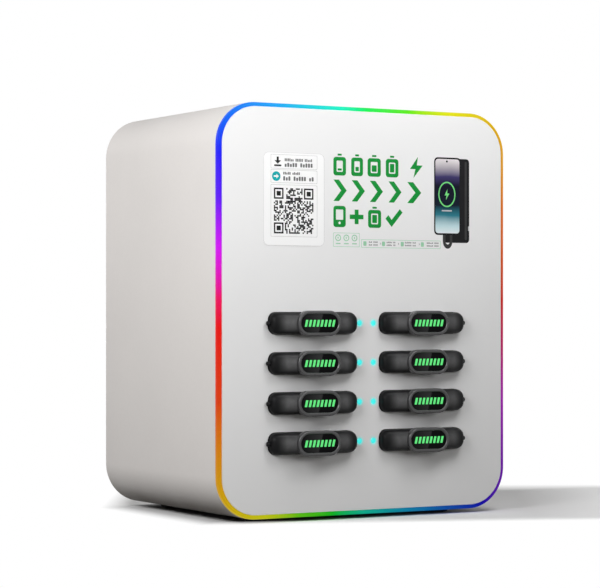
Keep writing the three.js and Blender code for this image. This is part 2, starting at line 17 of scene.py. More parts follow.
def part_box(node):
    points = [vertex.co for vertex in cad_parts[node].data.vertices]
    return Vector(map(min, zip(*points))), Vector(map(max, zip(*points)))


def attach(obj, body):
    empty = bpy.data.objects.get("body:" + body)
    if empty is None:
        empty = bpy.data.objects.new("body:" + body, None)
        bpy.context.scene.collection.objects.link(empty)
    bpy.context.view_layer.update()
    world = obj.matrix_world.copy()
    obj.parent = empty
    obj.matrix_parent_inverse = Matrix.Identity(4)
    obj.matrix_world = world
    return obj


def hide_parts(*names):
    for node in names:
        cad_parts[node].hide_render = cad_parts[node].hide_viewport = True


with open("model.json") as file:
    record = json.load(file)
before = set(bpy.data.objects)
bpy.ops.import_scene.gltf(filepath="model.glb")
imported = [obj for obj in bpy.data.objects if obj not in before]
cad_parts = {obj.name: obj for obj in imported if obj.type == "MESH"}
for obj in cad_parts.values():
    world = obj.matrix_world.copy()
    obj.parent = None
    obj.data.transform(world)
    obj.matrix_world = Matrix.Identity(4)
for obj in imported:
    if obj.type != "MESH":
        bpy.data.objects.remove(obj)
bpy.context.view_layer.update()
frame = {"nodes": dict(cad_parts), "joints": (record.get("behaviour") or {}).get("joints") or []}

bl_info = {
    "name": "Power-bank rental station",
    "version": (1, 0, 0),
    "blender": (4, 5, 0),
    "location": "View3D > Sidebar > Station",
    "description": "Makes the visible pieces, finishes and stage of a power-bank rental station",
    "category": "Object",
}

MM = 0.001


# ---- Places that the frame gives ----


class Span:
    """A CAD node's box: its lowest and highest corners, its size and its middle."""

    def __init__(self, node):
        low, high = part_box(node)
        self.low = np.array(low)
        self.high = np.array(high)
        self.size = self.high - self.low
        self.middle = (self.low + self.high) / 2


SHELL = Span("outer_shell")
PLATE = Span("front_panel")
GUIDE = Span("light_guide_ring")
LABEL = Span("instruction_label")
COVER = Span("rear_cover")
INLET = Span("power_inlet")
SWITCH = Span("switch_housing")
FACE_Y = PLATE.low[1]
BANKS = [Span(f"bank_{number}_case") for number in range(1, 9)]
COLUMNS = {"left": BANKS[:4], "right": BANKS[4:]}
SCREWS = [Span(f"rear_cover_screw_{number}") for number in range(1, 5)]
WINDOW = Span("bank_1_window")
BUTTON = Span("bank_1_button")
BODY_WIDTH = SHELL.size[0]
BODY_HEIGHT = SHELL.size[2]
BODY_MIDDLE = (SHELL.middle[0], SHELL.middle[2])


# ---- Properties ----


def millimetres(name, description, value):
    """A length property whose default is given in millimetres."""
    return FloatProperty(
        name=name, description=description, default=value * MM, unit="LENGTH", precision=5)


def colour(name, description, value):
    """A colour property."""
    return FloatVectorProperty(
        name=name, description=description, default=value, size=3, subtype="COLOR", min=0, max=1)


def watts(name, place, value):
    """A lamp's power property."""
    return FloatProperty(
        name=name, description=f"Power of the lamp {place}", default=value, min=0, unit="POWER")


class StationSizes(bpy.types.PropertyGroup):
    """Sizes of the cabinet's moulded pieces that the frame doesn't carry."""

    corner: millimetres("Corner radius", "Outer radius of the body's four long edges", 30)
    wall: millimetres("Shell wall", "Thickness of the outer shell", 3)
    guide_face: millimetres("Rim face", "Width of the lit rim seen from the front", 2.8)
    guide_round: millimetres("Rim rounding", "Radius of the lit rim's outer front edge", 2)
    edge: millimetres("Small edges", "Radius of the broken edges on moulded pieces", 0.3)
    rear_edge: millimetres("Rear edge", "Radius of the shell's outer rear edge", 1.2)
    gap: millimetres("Bay gap", "Space between a power bank and its slot", 0.25)
    indicator: millimetres("Indicator radius", "Radius of an indicator's pin", 1.85)


class BankSizes(bpy.types.PropertyGroup):
    """Sizes of a power bank's moulded pieces."""

    thickness: millimetres("Thickness", "Thickness of the case", 15.3)
    flank_round: millimetres("Flank radius", "Radius of the long edges", 5.5)
    nose_round: millimetres("Nose rounding", "Radius of the edge round the nose", 3)
    rear_round: millimetres("Rear rounding", "Radius of the edge round the rear end", 3)
    bow: millimetres("Nose bow", "How much further the nose's middle stands out than its ends", 4.4)
    crown: millimetres("Nose crown", "How far the nose falls back from its middle to its long edges", 2)
    nose_end: millimetres("Nose end", "How far the nose's ends stand out of the panel", 6.6)
    rim_width: millimetres("Rim width", "Width of the oval rim round the window", 34.7)
    rim_height: millimetres("Rim height", "Height of the oval rim round the window", 17.8)
    rim_band: millimetres("Rim band", "Breadth of the oval rim's face", 2.3)
    gauge_bars: IntProperty(
        name="Gauge bars", description="Bars in each bank's charge gauge", default=8, min=1, max=12)


class StationColours(bpy.types.PropertyGroup):
    """Colours of the station's pieces."""

    shell: colour("Shell", "Outer shell", (0.80, 0.767, 0.743))
    plate: colour("Front panel", "Front panel", (0.86, 0.86, 0.86))
    cover: colour("Rear cover", "Rear cover", (0.62, 0.60, 0.57))
    bank: colour("Power bank", "Power bank case", (0.004, 0.004, 0.0045))
    # Paler tone painted along the middle of each bank's nose: a painted sheen.
    bank_painted_sheen_tone: colour("Painted sheen on case", "Power bank case where it is handled most", (0.12, 0.12, 0.122))
    rim: colour("Window rim", "Oval rim round a bank's window", (0.055, 0.055, 0.057))
    lit_green: colour("Gauge", "Lit bars of a bank's gauge", (0.09, 0.70, 0.17))
    lit_cyan: colour("Indicator", "Lit indicators", (0.045, 0.95, 0.90))
    ink_green: colour("Green ink", "Large print", (0.010, 0.30, 0.045))
    ink_pale: colour("Pale ink", "Fine green print", (0.36, 0.68, 0.45))
    ink_grey: colour("Grey ink", "Fine grey print", (0.17, 0.17, 0.17))
    ink_black: colour("Black ink", "Code and symbols", (0.012, 0.012, 0.012))


class StageSizes(bpy.types.PropertyGroup):
    """The camera's place and the lamps' levels."""

    distance: FloatProperty(
        name="Camera distance", description="From the camera to the body's middle", default=1.685,
        unit="LENGTH")
    azimuth: FloatProperty(
        name="Camera azimuth", description="Camera's turn to the left of the front",
        default=math.radians(29.893), subtype="ANGLE")
    aim_height: FloatProperty(
        name="Camera height", description="Camera's height above the floor", default=0.1472,
        unit="LENGTH")
    lens: FloatProperty(name="Lens", description="Focal length", default=134.89, unit="CAMERA")
    key: watts("Key lamp", "above the front", 0.42)
    upper: watts("Upper lamp", "above the front's right", 0.93)
    left: watts("Left lamp", "at the front's left", 1.92)
    fill: watts("Fill lamp", "in front", 1.25)
    side: watts("Side lamp", "at the left side", 1.63)
    rear: watts("Rear lamp", "behind", 5.6)
    right: watts("Right lamp", "at the right side", 2.8)
    sky: FloatProperty(name="Surroundings", description="Brightness of the surroundings", default=0.06)


# ---- Surfaces worked out as arrays ----


def rounded_loop(half_x, half_z, radius, straight=(1, 1), corner=8):
    """A rounded rectangle's outline about the origin, anticlockwise, as an N by 2 array.

    Each corner is a quarter circle of equal steps. The straight runs between corners are split into
    equal steps: the first number of `straight` for those along X, the second for those along Z.
    """
    radius = max(min(radius, half_x, half_z), 0.0)
    turn = np.linspace(0, math.pi / 2, corner + 1)
    signs = ((1, 1), (-1, 1), (-1, -1), (1, -1))
    arcs = [
        np.stack([
            sign_x * (half_x - radius) + radius * np.cos(turn + quarter * math.pi / 2),
            sign_z * (half_z - radius) + radius * np.sin(turn + quarter * math.pi / 2),
        ], axis=1)
        for quarter, (sign_x, sign_z) in enumerate(signs)
    ]
    parts = []
    for quarter, arc in enumerate(arcs):
        steps = straight[quarter % 2]
        run = np.linspace(arc[-1], arcs[(quarter + 1) % 4][0], steps + 1)[1:-1]
        parts += [arc, run]
    return np.concatenate(parts)


def grid_faces(rows, columns, closed_rows):
    """Quads between the points of a grid whose columns wrap round, and whose rows may wrap too."""
    row = np.arange(rows if closed_rows else rows - 1)[:, None]
    column = np.arange(columns)[None, :]
    next_row = (row + 1) % rows
    next_column = (column + 1) % columns
    quads = np.stack([
        row * columns + column, row * columns + next_column,
        next_row * columns + next_column, next_row * columns + column,
    ], axis=-1)
    return quads.reshape(-1, 4).tolist()


def lofted(rows, middle=(0.0, 0.0), closed=False, straight=(1, 1), corner=8, bow=None):
    """Rounded rectangles joined one after another: each row is half width, half height, radius and Y.

    A fifth number in a row is its share of the bow: Y moves by that share times bow(x, z). An open loft
    gets a flat face at each end, and a closed one joins its last row to its first.
    """
    loops = np.stack([rounded_loop(*row[:3], straight, corner) for row in rows])
    along = np.array([row[3] for row in rows])[:, None] + np.zeros(loops.shape[:2])
    if bow is not None:
        along = along + np.array([row[4] for row in rows])[:, None] * bow(loops[..., 0], loops[..., 1])
    points = np.stack([loops[..., 0] + middle[0], along, loops[..., 1] + middle[1]], axis=-1)
    count = loops.shape[1]
    faces = grid_faces(len(rows), count, closed)
    if not closed:
        faces += [list(range(count)), list(range((len(rows) - 1) * count, len(rows) * count))]
    return points.reshape(-1, 3), faces


def quarter_round(radius, steps=5):
    """Inset and drop along a quarter circle, from the side (inset 0) to the face (drop 0)."""
    turn = np.linspace(0, math.pi / 2, steps + 1)
    return list(zip(radius * (1 - np.cos(turn)), radius * (1 - np.sin(turn))))


def turned(profile, base, axis, sides=32):
    """A profile of (radius, distance) pairs carried round an axis that starts at `base`."""
    axis = np.array(axis, float)
    side = np.array([0.0, 0.0, 1.0]) if abs(axis[2]) < 0.5 else np.array([1.0, 0.0, 0.0])
    other = np.cross(axis, side)
    angle = np.arange(sides) * 2 * math.pi / sides
    spokes = np.cos(angle)[:, None] * side + np.sin(angle)[:, None] * other
    radius = np.array([pair[0] for pair in profile])[:, None, None]
    reach = np.array([pair[1] for pair in profile])[:, None, None]
    points = np.array(base) + radius * spokes[None] + reach * axis
    faces = grid_faces(len(profile), sides, False)
    faces += [list(range(sides)), list(range((len(profile) - 1) * sides, len(profile) * sides))]
    return points.reshape(-1, 3), faces


def joined(*parts):
    """Several surfaces as one set of points and faces."""
    points, faces, start = [], [], 0
    for part_points, part_faces in parts:
        points.append(part_points)
        faces += [[index + start for index in face] for face in part_faces]
        start += len(part_points)
    return np.concatenate(points), faces


def tidy_mesh(mesh):
    """Merges doubled points, turns every face outwards and marks the edges sharper than 35 degrees.

    The edges round a flat front or back are sharp too, so that its shading stays even.
    """
    sharp = math.radians(35)
    flat = 0.99999
    shape = bmesh.new()
    shape.from_mesh(mesh)
    bmesh.ops.remove_doubles(shape, verts=shape.verts, dist=2e-7)
    bmesh.ops.dissolve_degenerate(shape, edges=shape.edges, dist=1e-7)
    bmesh.ops.recalc_face_normals(shape, faces=shape.faces)
    for edge in shape.edges:
        level = {abs(face.normal.y) > flat for face in edge.link_faces}
        edge.smooth = len(level) == 1 and edge.calc_face_angle(math.pi) < sharp
    for face in shape.faces:
        face.smooth = True
    shape.to_mesh(mesh)
    shape.free()
    mesh.update()


def mesh_of(name, surface):
    """A tidy mesh made from a surface's points and faces."""
    points, faces = surface
    mesh = bpy.data.meshes.new(name)
    mesh.from_pydata(points.tolist(), [], faces)
    tidy_mesh(mesh)
    return mesh


def points_of(mesh):
    """A mesh's points as an N by 3 array."""
    points = np.empty(len(mesh.vertices) * 3)
    mesh.vertices.foreach_get("co", points)
    return points.reshape(-1, 3)


def shown(thing):
    """Links an object and gives back its mesh with its modifiers or its curve's fill applied."""
    bpy.context.scene.collection.objects.link(thing)
    bpy.context.view_layer.update()
    return bpy.data.meshes.new_from_object(thing.evaluated_get(bpy.context.evaluated_depsgraph_get()))


def carved(mesh, surface, crossed=False):
    """A mesh less a surface's volume. `crossed` says that the surface's parts run through each other."""
    cutter = bpy.data.objects.new("cutter", mesh_of("cutter", surface))
    bpy.context.scene.collection.objects.link(cutter)
    block = bpy.data.objects.new("block", mesh)
    cut = block.modifiers.new("cut", "BOOLEAN")
    cut.operation = "DIFFERENCE"
    cut.solver = "EXACT"
    cut.use_self = crossed
    cut.object = cutter
    whole = shown(block)
    for thing in (block, cutter):
        bpy.data.objects.remove(thing)
    return whole


def settle(name, mesh, material, slot, *nodes, body="cabinet"):
    """A finished piece: a mesh at the origin that rides on a CAD body and replaces these nodes."""
    thing = bpy.data.objects.new(name, mesh)
    bpy.context.scene.collection.objects.link(thing)
    mesh.materials.clear()
    mesh.materials.append(material)
    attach(thing, body)
    if nodes:
        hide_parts(*nodes)
    return thing


def piece(name, surface, material, slot, *nodes, body="cabinet"):
    """A finished piece made from a surface."""
    return settle(name, mesh_of(name, surface), material, slot, *nodes, body=body)


def flat_piece(name, outlines, near, far, edge, material, slot, *nodes, body="cabinet"):
    """A flat piece between two Y places, with its outlines in X and Z and its edges rounded.

    An outline inside another is a hole. The outlines are filled as one flat curve, which is made a
    mesh and stood upright.
    """
    curve = bpy.data.curves.new(name, "CURVE")
    curve.dimensions = "2D"
    curve.fill_mode = "BOTH"
    curve.extrude = (far - near) / 2 - edge
    curve.bevel_depth = edge
    curve.bevel_resolution = 2
    curve.offset = -edge
    for outline in outlines:
        spline = curve.splines.new("POLY")
        spline.points.add(len(outline) - 1)
        places = np.zeros((len(outline), 4))
        places[:, :2] = outline
        places[:, 3] = 1
        spline.points.foreach_set("co", places.ravel())
        spline.use_cyclic_u = True
    drawing = bpy.data.objects.new(name + "_drawing", curve)
    mesh = shown(drawing)
    bpy.data.objects.remove(drawing)
    flat = points_of(mesh)
    upright = np.stack([flat[:, 0], (near + far) / 2 - flat[:, 2], flat[:, 1]], axis=1)
    mesh.vertices.foreach_set("co", upright.ravel())
    mesh.name = name
    tidy_mesh(mesh)
    return settle(name, mesh, material, slot, *nodes, body=body)


# ---- Outlines for flat pieces, in X and Z ----


def rounded_box(low_x, low_z, high_x, high_z, radius, corner=5):
    """A rounded rectangle's outline between two corners."""
    middle = np.array([(low_x + high_x) / 2, (low_z + high_z) / 2])
    return rounded_loop((high_x - low_x) / 2, (high_z - low_z) / 2, radius, corner=corner) + middle


def disc(x, z, radius_x, radius_z=None, sides=32):
    """A circle's or an ellipse's outline."""
    angle = np.arange(sides) * 2 * math.pi / sides
    return np.stack([x + radius_x * np.cos(angle), z + (radius_z or radius_x) * np.sin(angle)], axis=1)


def drawn(points, low_x, low_z, high_x, high_z):
    """A polygon drawn in a unit square, stretched to a box."""
    return np.array(points) * [high_x - low_x, high_z - low_z] + [low_x, low_z]


BOLT = ((0.62, 1), (0.06, 0.42), (0.44, 0.42), (0.30, 0), (0.95, 0.60), (0.54, 0.60))
CHEVRON = ((0, 1), (0.42, 1), (1, 0.5), (0.42, 0), (0, 0), (0.58, 0.5))
ARROW = ((0, 0.64), (0, 0.36), (0.5, 0.36), (0.5, 0.08), (1, 0.5), (0.5, 0.92), (0.5, 0.64))
TICK = ((0, 0.45), (0.17, 0.62), (0.36, 0.40), (0.84, 0.92), (1, 0.76), (0.36, 0.06))
PLUS = (
    (0.36, 0.95), (0.64, 0.95), (0.64, 0.64), (1, 0.64), (1, 0.36), (0.64, 0.36),
    (0.64, 0.05), (0.36, 0.05), (0.36, 0.36), (0, 0.36), (0, 0.64), (0.36, 0.64))
SLANTED = ((0, 0.06), (0.04, 0), (0.60, 0), (0.64, 0.06), (1, 0.94), (0.96, 1), (0.40, 1), (0.36, 0.94))
DOWN = ((0.36, 1), (0.64, 1), (0.64, 0.62), (0.95, 0.62), (0.5, 0.25), (0.05, 0.62), (0.36, 0.62))


def cell_symbol(low_x, low_z, high_x, high_z, stroke, fill):
    """An upright battery: an outline, a cap above it and a bar that shows its charge."""
    cap = 0.09 * (high_z - low_z)
    space = 0.35 * stroke
    top = high_z - cap - space
    third = (high_x - low_x) / 3
    inner = stroke + space
    level = low_z + inner + fill * (top - low_z - 2 * inner)
    return [
        rounded_box(low_x + third, high_z - cap, high_x - third, high_z, cap / 3),
        rounded_box(low_x, low_z, high_x, top, stroke * 0.8),
        rounded_box(low_x + stroke, low_z + stroke, high_x - stroke, top - stroke, stroke * 0.3),
        rounded_box(low_x + inner, low_z + inner, high_x - inner, level, stroke * 0.15),
    ]


def phone_symbol(low_x, low_z, high_x, high_z, stroke):
    """A phone: an outline with a screen, and a round key below the screen."""
    side = stroke * 0.8
    return [
        rounded_box(low_x, low_z, high_x, high_z, side),
        rounded_box(low_x + side, low_z + 2 * stroke, high_x - side, high_z - stroke, stroke * 0.2),
        disc((low_x + high_x) / 2, low_z + 1.15 * stroke, stroke * 0.38, sides=16),
    ]


def word_blocks(low_x, low_z, high_x, high_z, pitch, seed):
    """A line of small upright blocks in uneven groups, standing for a line of small print."""
    draw = np.random.default_rng(seed)
    blocks = []
    place = low_x
    run = int(draw.integers(3, 7))
    while place + pitch * 0.75 <= high_x:
        if run == 0:
            run = int(draw.integers(3, 8))
        else:
            top = high_z - draw.choice((0, 0, 0.25)) * (high_z - low_z)
            blocks.append(rounded_box(place, low_z, place + pitch * 0.72, top, pitch * 0.15, corner=1))
            run -= 1
        place += pitch
    return blocks


# ---- Finishes ----


def both_ways(operation):
    """An operator's two forms: with the value before the other number, and after it."""
    def forward(value, other):
        return value.nodes.maths(operation, value, other)

    def reflected(value, other):
        return value.nodes.maths(operation, other, value)

    return forward, reflected


class Value:
    """An output of a shader node that plain arithmetic works on."""

    def __init__(self, nodes, socket):
        self.nodes = nodes
        self.socket = socket

    __add__, __radd__ = both_ways("ADD")
    __sub__, __rsub__ = both_ways("SUBTRACT")
    __mul__, __rmul__ = both_ways("MULTIPLY")
    __truediv__, __rtruediv__ = both_ways("DIVIDE")
    __lt__, __gt__ = both_ways("LESS_THAN")


class Nodes:
    """A node tree and the ways to add to it."""

    def __init__(self, tree):
        self.tree = tree

    def node(self, kind, settings=None, inputs=None, output=0):
        """Any node: its settings first, then the values or links of its sockets."""
        made = self.tree.nodes.new(kind)
        for key, value in (settings or {}).items():
            if key == "stops":
                self.fill_ramp(made.color_ramp, value)
            else:
                setattr(made, key, value)
        for key, value in (inputs or {}).items():
            self.feed(made.inputs[key], value)
        return Value(self, made.outputs[output])

    @staticmethod
    def fill_ramp(ramp, stops):
        """Gives a colour ramp its stops, as pairs of place and colour."""
        while len(ramp.elements) < len(stops):
            ramp.elements.new(0.5)
        for element, (position, tone) in zip(ramp.elements, stops):
            element.position = position
            element.color = (*tone, 1)

    def feed(self, socket, value):
        """Links a value to a socket, or sets the socket to a number, a vector or a colour."""
        if isinstance(value, Value):
            self.tree.links.new(value.socket, socket)
        else:
            socket.default_value = (*value, 1) if socket.type == "RGBA" else value

    def maths(self, operation, *values):
        """An arithmetic node and the values that it works on."""
        return self.node("ShaderNodeMath", {"operation": operation}, dict(enumerate(values)))

    def spread(self, value, low=0, high=1, from_low=0.35, from_high=0.65):
        """A value stretched from one range to another and held at its ends."""
        sockets = {0: value, 1: from_low, 2: from_high, 3: low, 4: high}
        return self.node("ShaderNodeMapRange", {"clamp": True}, sockets)

    def mix(self, factor, first, second):
        """A colour part of the way from the first to the second."""
        return self.node(
            "ShaderNodeMix", {"data_type": "RGBA"}, {0: factor, 6: first, 7: second}, output=2)

    def seen(self):
        """1 where the camera, gloss or glass looks, and 0 for the light that falls on the object."""
        kinds = ("Is Camera Ray", "Is Glossy Ray", "Is Transmission Ray")
        camera, gloss, glass = [self.node("ShaderNodeLightPath", output=kind) for kind in kinds]
        return self.maths("MAXIMUM", self.maths("MAXIMUM", camera, gloss), glass)


SOCKETS = {
    "base": "Base Color", "roughness": "Roughness", "metallic": "Metallic", "normal": "Normal",
    "specular": "Specular IOR Level", "glow": "Emission Color", "strength": "Emission Strength",
}
BLACK = (0, 0, 0)
WHITE = (1, 1, 1)


class Finish(Nodes):
    """A material and the shader nodes that make it."""

    def __init__(self, name, **constants):
        self.material = bpy.data.materials.new(name)
        self.material.use_nodes = True
        super().__init__(self.material.node_tree)
        self.shader = self.tree.nodes["Principled BSDF"]
        self.set(**constants)

    def set(self, **values):
        """Sets sockets of the main shader, named as in SOCKETS, to numbers or colours, or feeds them."""
        for name, value in values.items():
            self.feed(self.shader.inputs[SOCKETS[name]], value)

    def place(self):
        """The point being shaded, in the piece's own frame."""
        return self.node("ShaderNodeTexCoord", output="Object")

    def axis(self, index):
        """One of the point's coordinates: 0 for X, 1 for Y, 2 for Z."""
        return self.node("ShaderNodeSeparateXYZ", inputs={0: self.place()}, output=index)

    def distance(self, points):
        """How far the point being shaded is from the nearest of these points, up to a metre."""
        nearest = 1.0
        for point in points:
            sockets = {0: self.place(), 1: point}
            reach = self.node("ShaderNodeVectorMath", {"operation": "DISTANCE"}, sockets, output="Value")
            nearest = self.maths("MINIMUM", nearest, reach)
        return nearest

    def noise(self, scale, detail=2.0, roughness=0.5, stretch=None):
        """Soft noise between 0 and 1, with features about 1/scale metres across."""
        place = self.place()
        if stretch:
            place = self.node("ShaderNodeVectorMath", {"operation": "MULTIPLY"}, {0: place, 1: stretch})
        sockets = {"Vector": place, "Scale": scale, "Detail": detail, "Roughness": roughness}
        return self.node("ShaderNodeTexNoise", inputs=sockets)

    def cells(self, scale, radius):
        """1 in a dot in the middle of each cell of a scattered pattern, and 0 elsewhere."""
        sockets = {"Vector": self.place(), "Scale": scale}
        return self.node("ShaderNodeTexVoronoi", {"feature": "F1"}, sockets) < radius

    def shade(self, tone, share, factor):
        """A tone, and where the factor is 0 only a share of it."""
        return self.mix(factor, darker(tone, share), tone)

    def bump(self, height, distance):
        """Small relief on the surface, given as a height and its depth in metres."""
        sockets = {"Height": height, "Distance": distance, "Strength": 1.0}
        self.set(normal=self.node("ShaderNodeBump", inputs=sockets))


def darker(tone, share):
    """A colour with every channel brought down to a share of itself."""
    return tuple(channel * share for channel in tone)


def moulded(name, tone, roughness, grain=1400, depth=0.00002, variation=0.06, **constants):
    """Moulded plastic: fine grain in the surface, faint cloudiness in the colour and patches of gloss worn
    by hands.
    """
    finish = Finish(name, **constants)
    cloud = finish.spread(finish.noise(14, 3)) * 0.7 + finish.spread(finish.noise(420, 2)) * 0.3
    patches = finish.spread(finish.noise(38, 4, 0.6), -0.05, 0.06)
    finish.set(base=finish.shade(tone, 1 - variation, cloud), roughness=patches + roughness)
    finish.bump(finish.noise(grain, 3, 0.55), depth)
    return finish.material


def plate_finish(tone, lit, lights, radius):
    """Satin white panel with a faint orange-peel, and a painted glow round each indicator's hole."""
    finish = Finish("panel_plastic", strength=1.0)
    plain = finish.shade(tone, 0.985, finish.spread(finish.noise(9, 3)))
    near = finish.spread(finish.distance(lights), 1, 0, radius, radius + 2.4 * MM)
    # Painted glow: close round each indicator's hole the panel's colour turns cyan and the panel itself
    # glows faintly.
    painted_glow = near * near
    finish.set(
        base=finish.mix(painted_glow * 0.65, plain, lit), glow=finish.shade(darker(lit, 0.22), 0, painted_glow),
        roughness=finish.spread(finish.noise(26, 3, 0.5), 0.30, 0.34))
    finish.bump(finish.noise(160, 2), 0.000006)
    return finish.material


# Hues of the lit rim, in degrees, by clock angle from the top of the body as seen from the front.
RIM_HUES = (
    (0, 142), (14, 96), (26, 60), (39, 48), (57, 30), (87, 2), (104, 326), (119, 296), (136, 278),
    (145, 240), (155, 211), (167, 194), (181, 168), (191, 130), (201, 92), (210, 60), (224, 44),
    (242, 17), (257, 9), (265, 1), (274, 336), (290, 292), (303, 263), (313, 236), (333, 200),
    (351, 169), (360, 142),
)


def rim_tone(clock, hue):
    """A full colour of that hue, as linear values, with painted light and shade: brightest at the rim's
    upper left and dimmest at its lower right.
    """
    painted_light_clock = 325
    phase = (np.array([0.0, 4.0, 2.0]) + hue / 60) % 6
    # Painted light and shade: the glow's strength follows the clock angle round the rim.
    level = 0.64 + 0.32 * math.cos(math.radians(clock - painted_light_clock))
    return tuple(level * np.clip(np.abs(phase - 3) - 1, 0, 1) ** 2.2)


def rim_finish():
    """Frosted light guide, lit in a rainbow that runs twice round the body."""
    finish = Finish("lit_rim", roughness=0.3, base=(0.006, 0.006, 0.006), specular=0.05, strength=1.0)
    across = finish.axis(0) - BODY_MIDDLE[0]
    up = finish.axis(2) - BODY_MIDDLE[1]
    turn = finish.maths("FRACT", finish.maths("ARCTAN2", across, up) / (2 * math.pi))
    stops = [(clock / 360, rim_tone(clock, hue)) for clock, hue in RIM_HUES]
    rainbow = finish.node("ShaderNodeValToRGB", {"stops": stops}, {0: turn})
    frosting = finish.spread(finish.noise(700, 2), 0.94, 1.0)
    finish.set(glow=finish.mix(frosting, BLACK, rainbow))
    finish.bump(finish.noise(900, 2), 0.000008)
    return finish.material


def bank_finish(tone, painted_sheen_tone):
    """Satin black case with fine grain, and a painted sheen: paler and a little glossier along the nose's
    middle.
    """
    finish = Finish("bank_plastic", specular=0.11)
    handled = finish.node("ShaderNodeAttribute", {"attribute_name": "handled"}, output="Fac")
    # Painted sheen: along the nose's middle the base colour goes towards the paler tone, and the roughness
    # drops a little.
    sheen_mask = handled * finish.spread(finish.noise(240, 4, 0.65), 0.82, 1)
    base = finish.shade(tone, 0.8, finish.spread(finish.noise(14, 3)))
    finish.set(base=finish.mix(sheen_mask, base, painted_sheen_tone), roughness=0.42 - sheen_mask * 0.08)
    finish.bump(finish.noise(2600, 3, 0.55), 0.00001)
    return finish.material


def lit_finish(name, tone, strength):
    """A lit plastic piece with fine grain in its glow."""
    finish = Finish(name, roughness=0.3, base=darker(tone, 0.3), strength=strength)
    finish.set(glow=finish.shade(tone, 0, finish.spread(finish.noise(700, 2), 0.86, 1.0)))
    finish.bump(finish.noise(1500, 2), 0.000004)
    return finish.material


def ink_finish(name, tone):
    """Screen-printed ink: slightly uneven in colour and gloss, with a fine mesh grain."""
    finish = Finish(name, specular=0.1)
    uneven = finish.spread(finish.noise(260, 4, 0.6))
    finish.set(base=finish.shade(tone, 0.86, uneven), roughness=uneven * 0.12 + 0.35)
    finish.bump(finish.noise(3200, 2), 0.000004)
    return finish.material


def paper_finish(name, tone):
    """Coated paper: faint fibres and a soft sheen."""
    finish = Finish(name, roughness=0.42)
    fibres = finish.noise(900, 5, 0.7, stretch=(1, 1, 3))
    finish.set(base=finish.shade(tone, 0.97, finish.spread(fibres)))
    finish.bump(fibres, 0.000006)
    return finish.material


def screen_finish(low_z, high_z):
    """Printed picture of a lit screen: pale at both ends and dark behind the charging ring."""
    finish = Finish("picture_screen", roughness=0.3, specular=0.1)
    height = (finish.axis(2) - low_z) / (high_z - low_z)
    uneven = (finish.noise(60, 2) - 0.5) * 0.05
    stops = [
        (0.0, (0.80, 0.88, 0.90)), (0.10, (0.55, 0.74, 0.78)), (0.24, (0.03, 0.20, 0.26)),
        (0.38, (0.003, 0.008, 0.02)), (0.64, (0.003, 0.003, 0.014)), (0.76, (0.05, 0.04, 0.14)),
        (0.90, (0.50, 0.46, 0.50)), (1.0, (0.82, 0.78, 0.79)),
    ]
    finish.set(base=finish.node("ShaderNodeValToRGB", {"stops": stops}, {0: height + uneven}))
    finish.bump(finish.noise(3200, 2), 0.000004)
    return finish.material


def metal_finish(name, tone, roughness, stretch=(1, 1, 1)):
    """Plated or brushed metal: fine drawn lines in its gloss and a few dull spots."""
    finish = Finish(name, metallic=1.0)
    lines = finish.noise(500, 4, 0.6, stretch=stretch)
    finish.set(
        base=finish.shade(tone, 0.82, finish.spread(finish.noise(90, 3))),
        roughness=finish.spread(lines, roughness - 0.07, roughness + 0.12))
    finish.bump(lines, 0.000008)
    return finish.material


def board_finish():
    """Circuit board: solder mask over copper tracks, with rows of tinned pads."""
    finish = Finish("circuit_board")
    sockets = {"Vector": finish.place(), "Scale": 260.0, "Mortar Size": 0.03, "Mortar Smooth": 0.1}
    tracks = finish.node("ShaderNodeTexBrick", {"offset": 0.37}, sockets, output="Fac")
    pads = finish.cells(420.0, 0.18)
    mask = finish.mix(tracks, (0.010, 0.095, 0.035), (0.025, 0.19, 0.08))
    finish.set(
        base=finish.mix(pads, mask, (0.72, 0.70, 0.66)), metallic=pads * 0.9,
        roughness=finish.spread(finish.noise(300, 3), 0.3, 0.45))
    finish.bump(tracks, 0.00003)
    return finish.material


def strip_finish():
    """Light strip: white board with a row of small yellow-white chips."""
    finish = Finish("light_strip_board", roughness=0.5)
    chips = finish.cells(140.0, 0.3)
    finish.set(base=finish.mix(chips, (0.8, 0.8, 0.78), (0.85, 0.72, 0.3)))
    finish.bump(chips, 0.0003)
    return finish.material


# ---- Operators: one for each piece or group of like pieces ----


class StationOperator(bpy.types.Operator):
    """Shared by the station's operators."""

    bl_options = {"REGISTER", "UNDO"}

    @property
    def sizes(self):
        return bpy.context.scene.station_sizes

    @property
    def bank_sizes(self):
        return bpy.context.scene.station_banks

    @property
    def colours(self):
        return bpy.context.scene.station_colours

    def body_loft(self, pairs):
        """A closed loft round the body from pairs of inset and Y."""
        half_x, half_z, corner = BODY_WIDTH / 2, BODY_HEIGHT / 2, self.sizes.corner
        rows = [(half_x - inset, half_z - inset, corner - inset, y) for inset, y in pairs]
        return lofted(rows, BODY_MIDDLE, closed=True, straight=(12, 14), corner=20)

    def inner_outline(self, span):
        """The outline of a flat piece inside the body, whose corners follow the body's."""
        radius = self.sizes.corner - (BODY_WIDTH - span.size[0]) / 2
        return rounded_box(span.low[0], span.low[2], span.high[0], span.high[2], radius, corner=20)


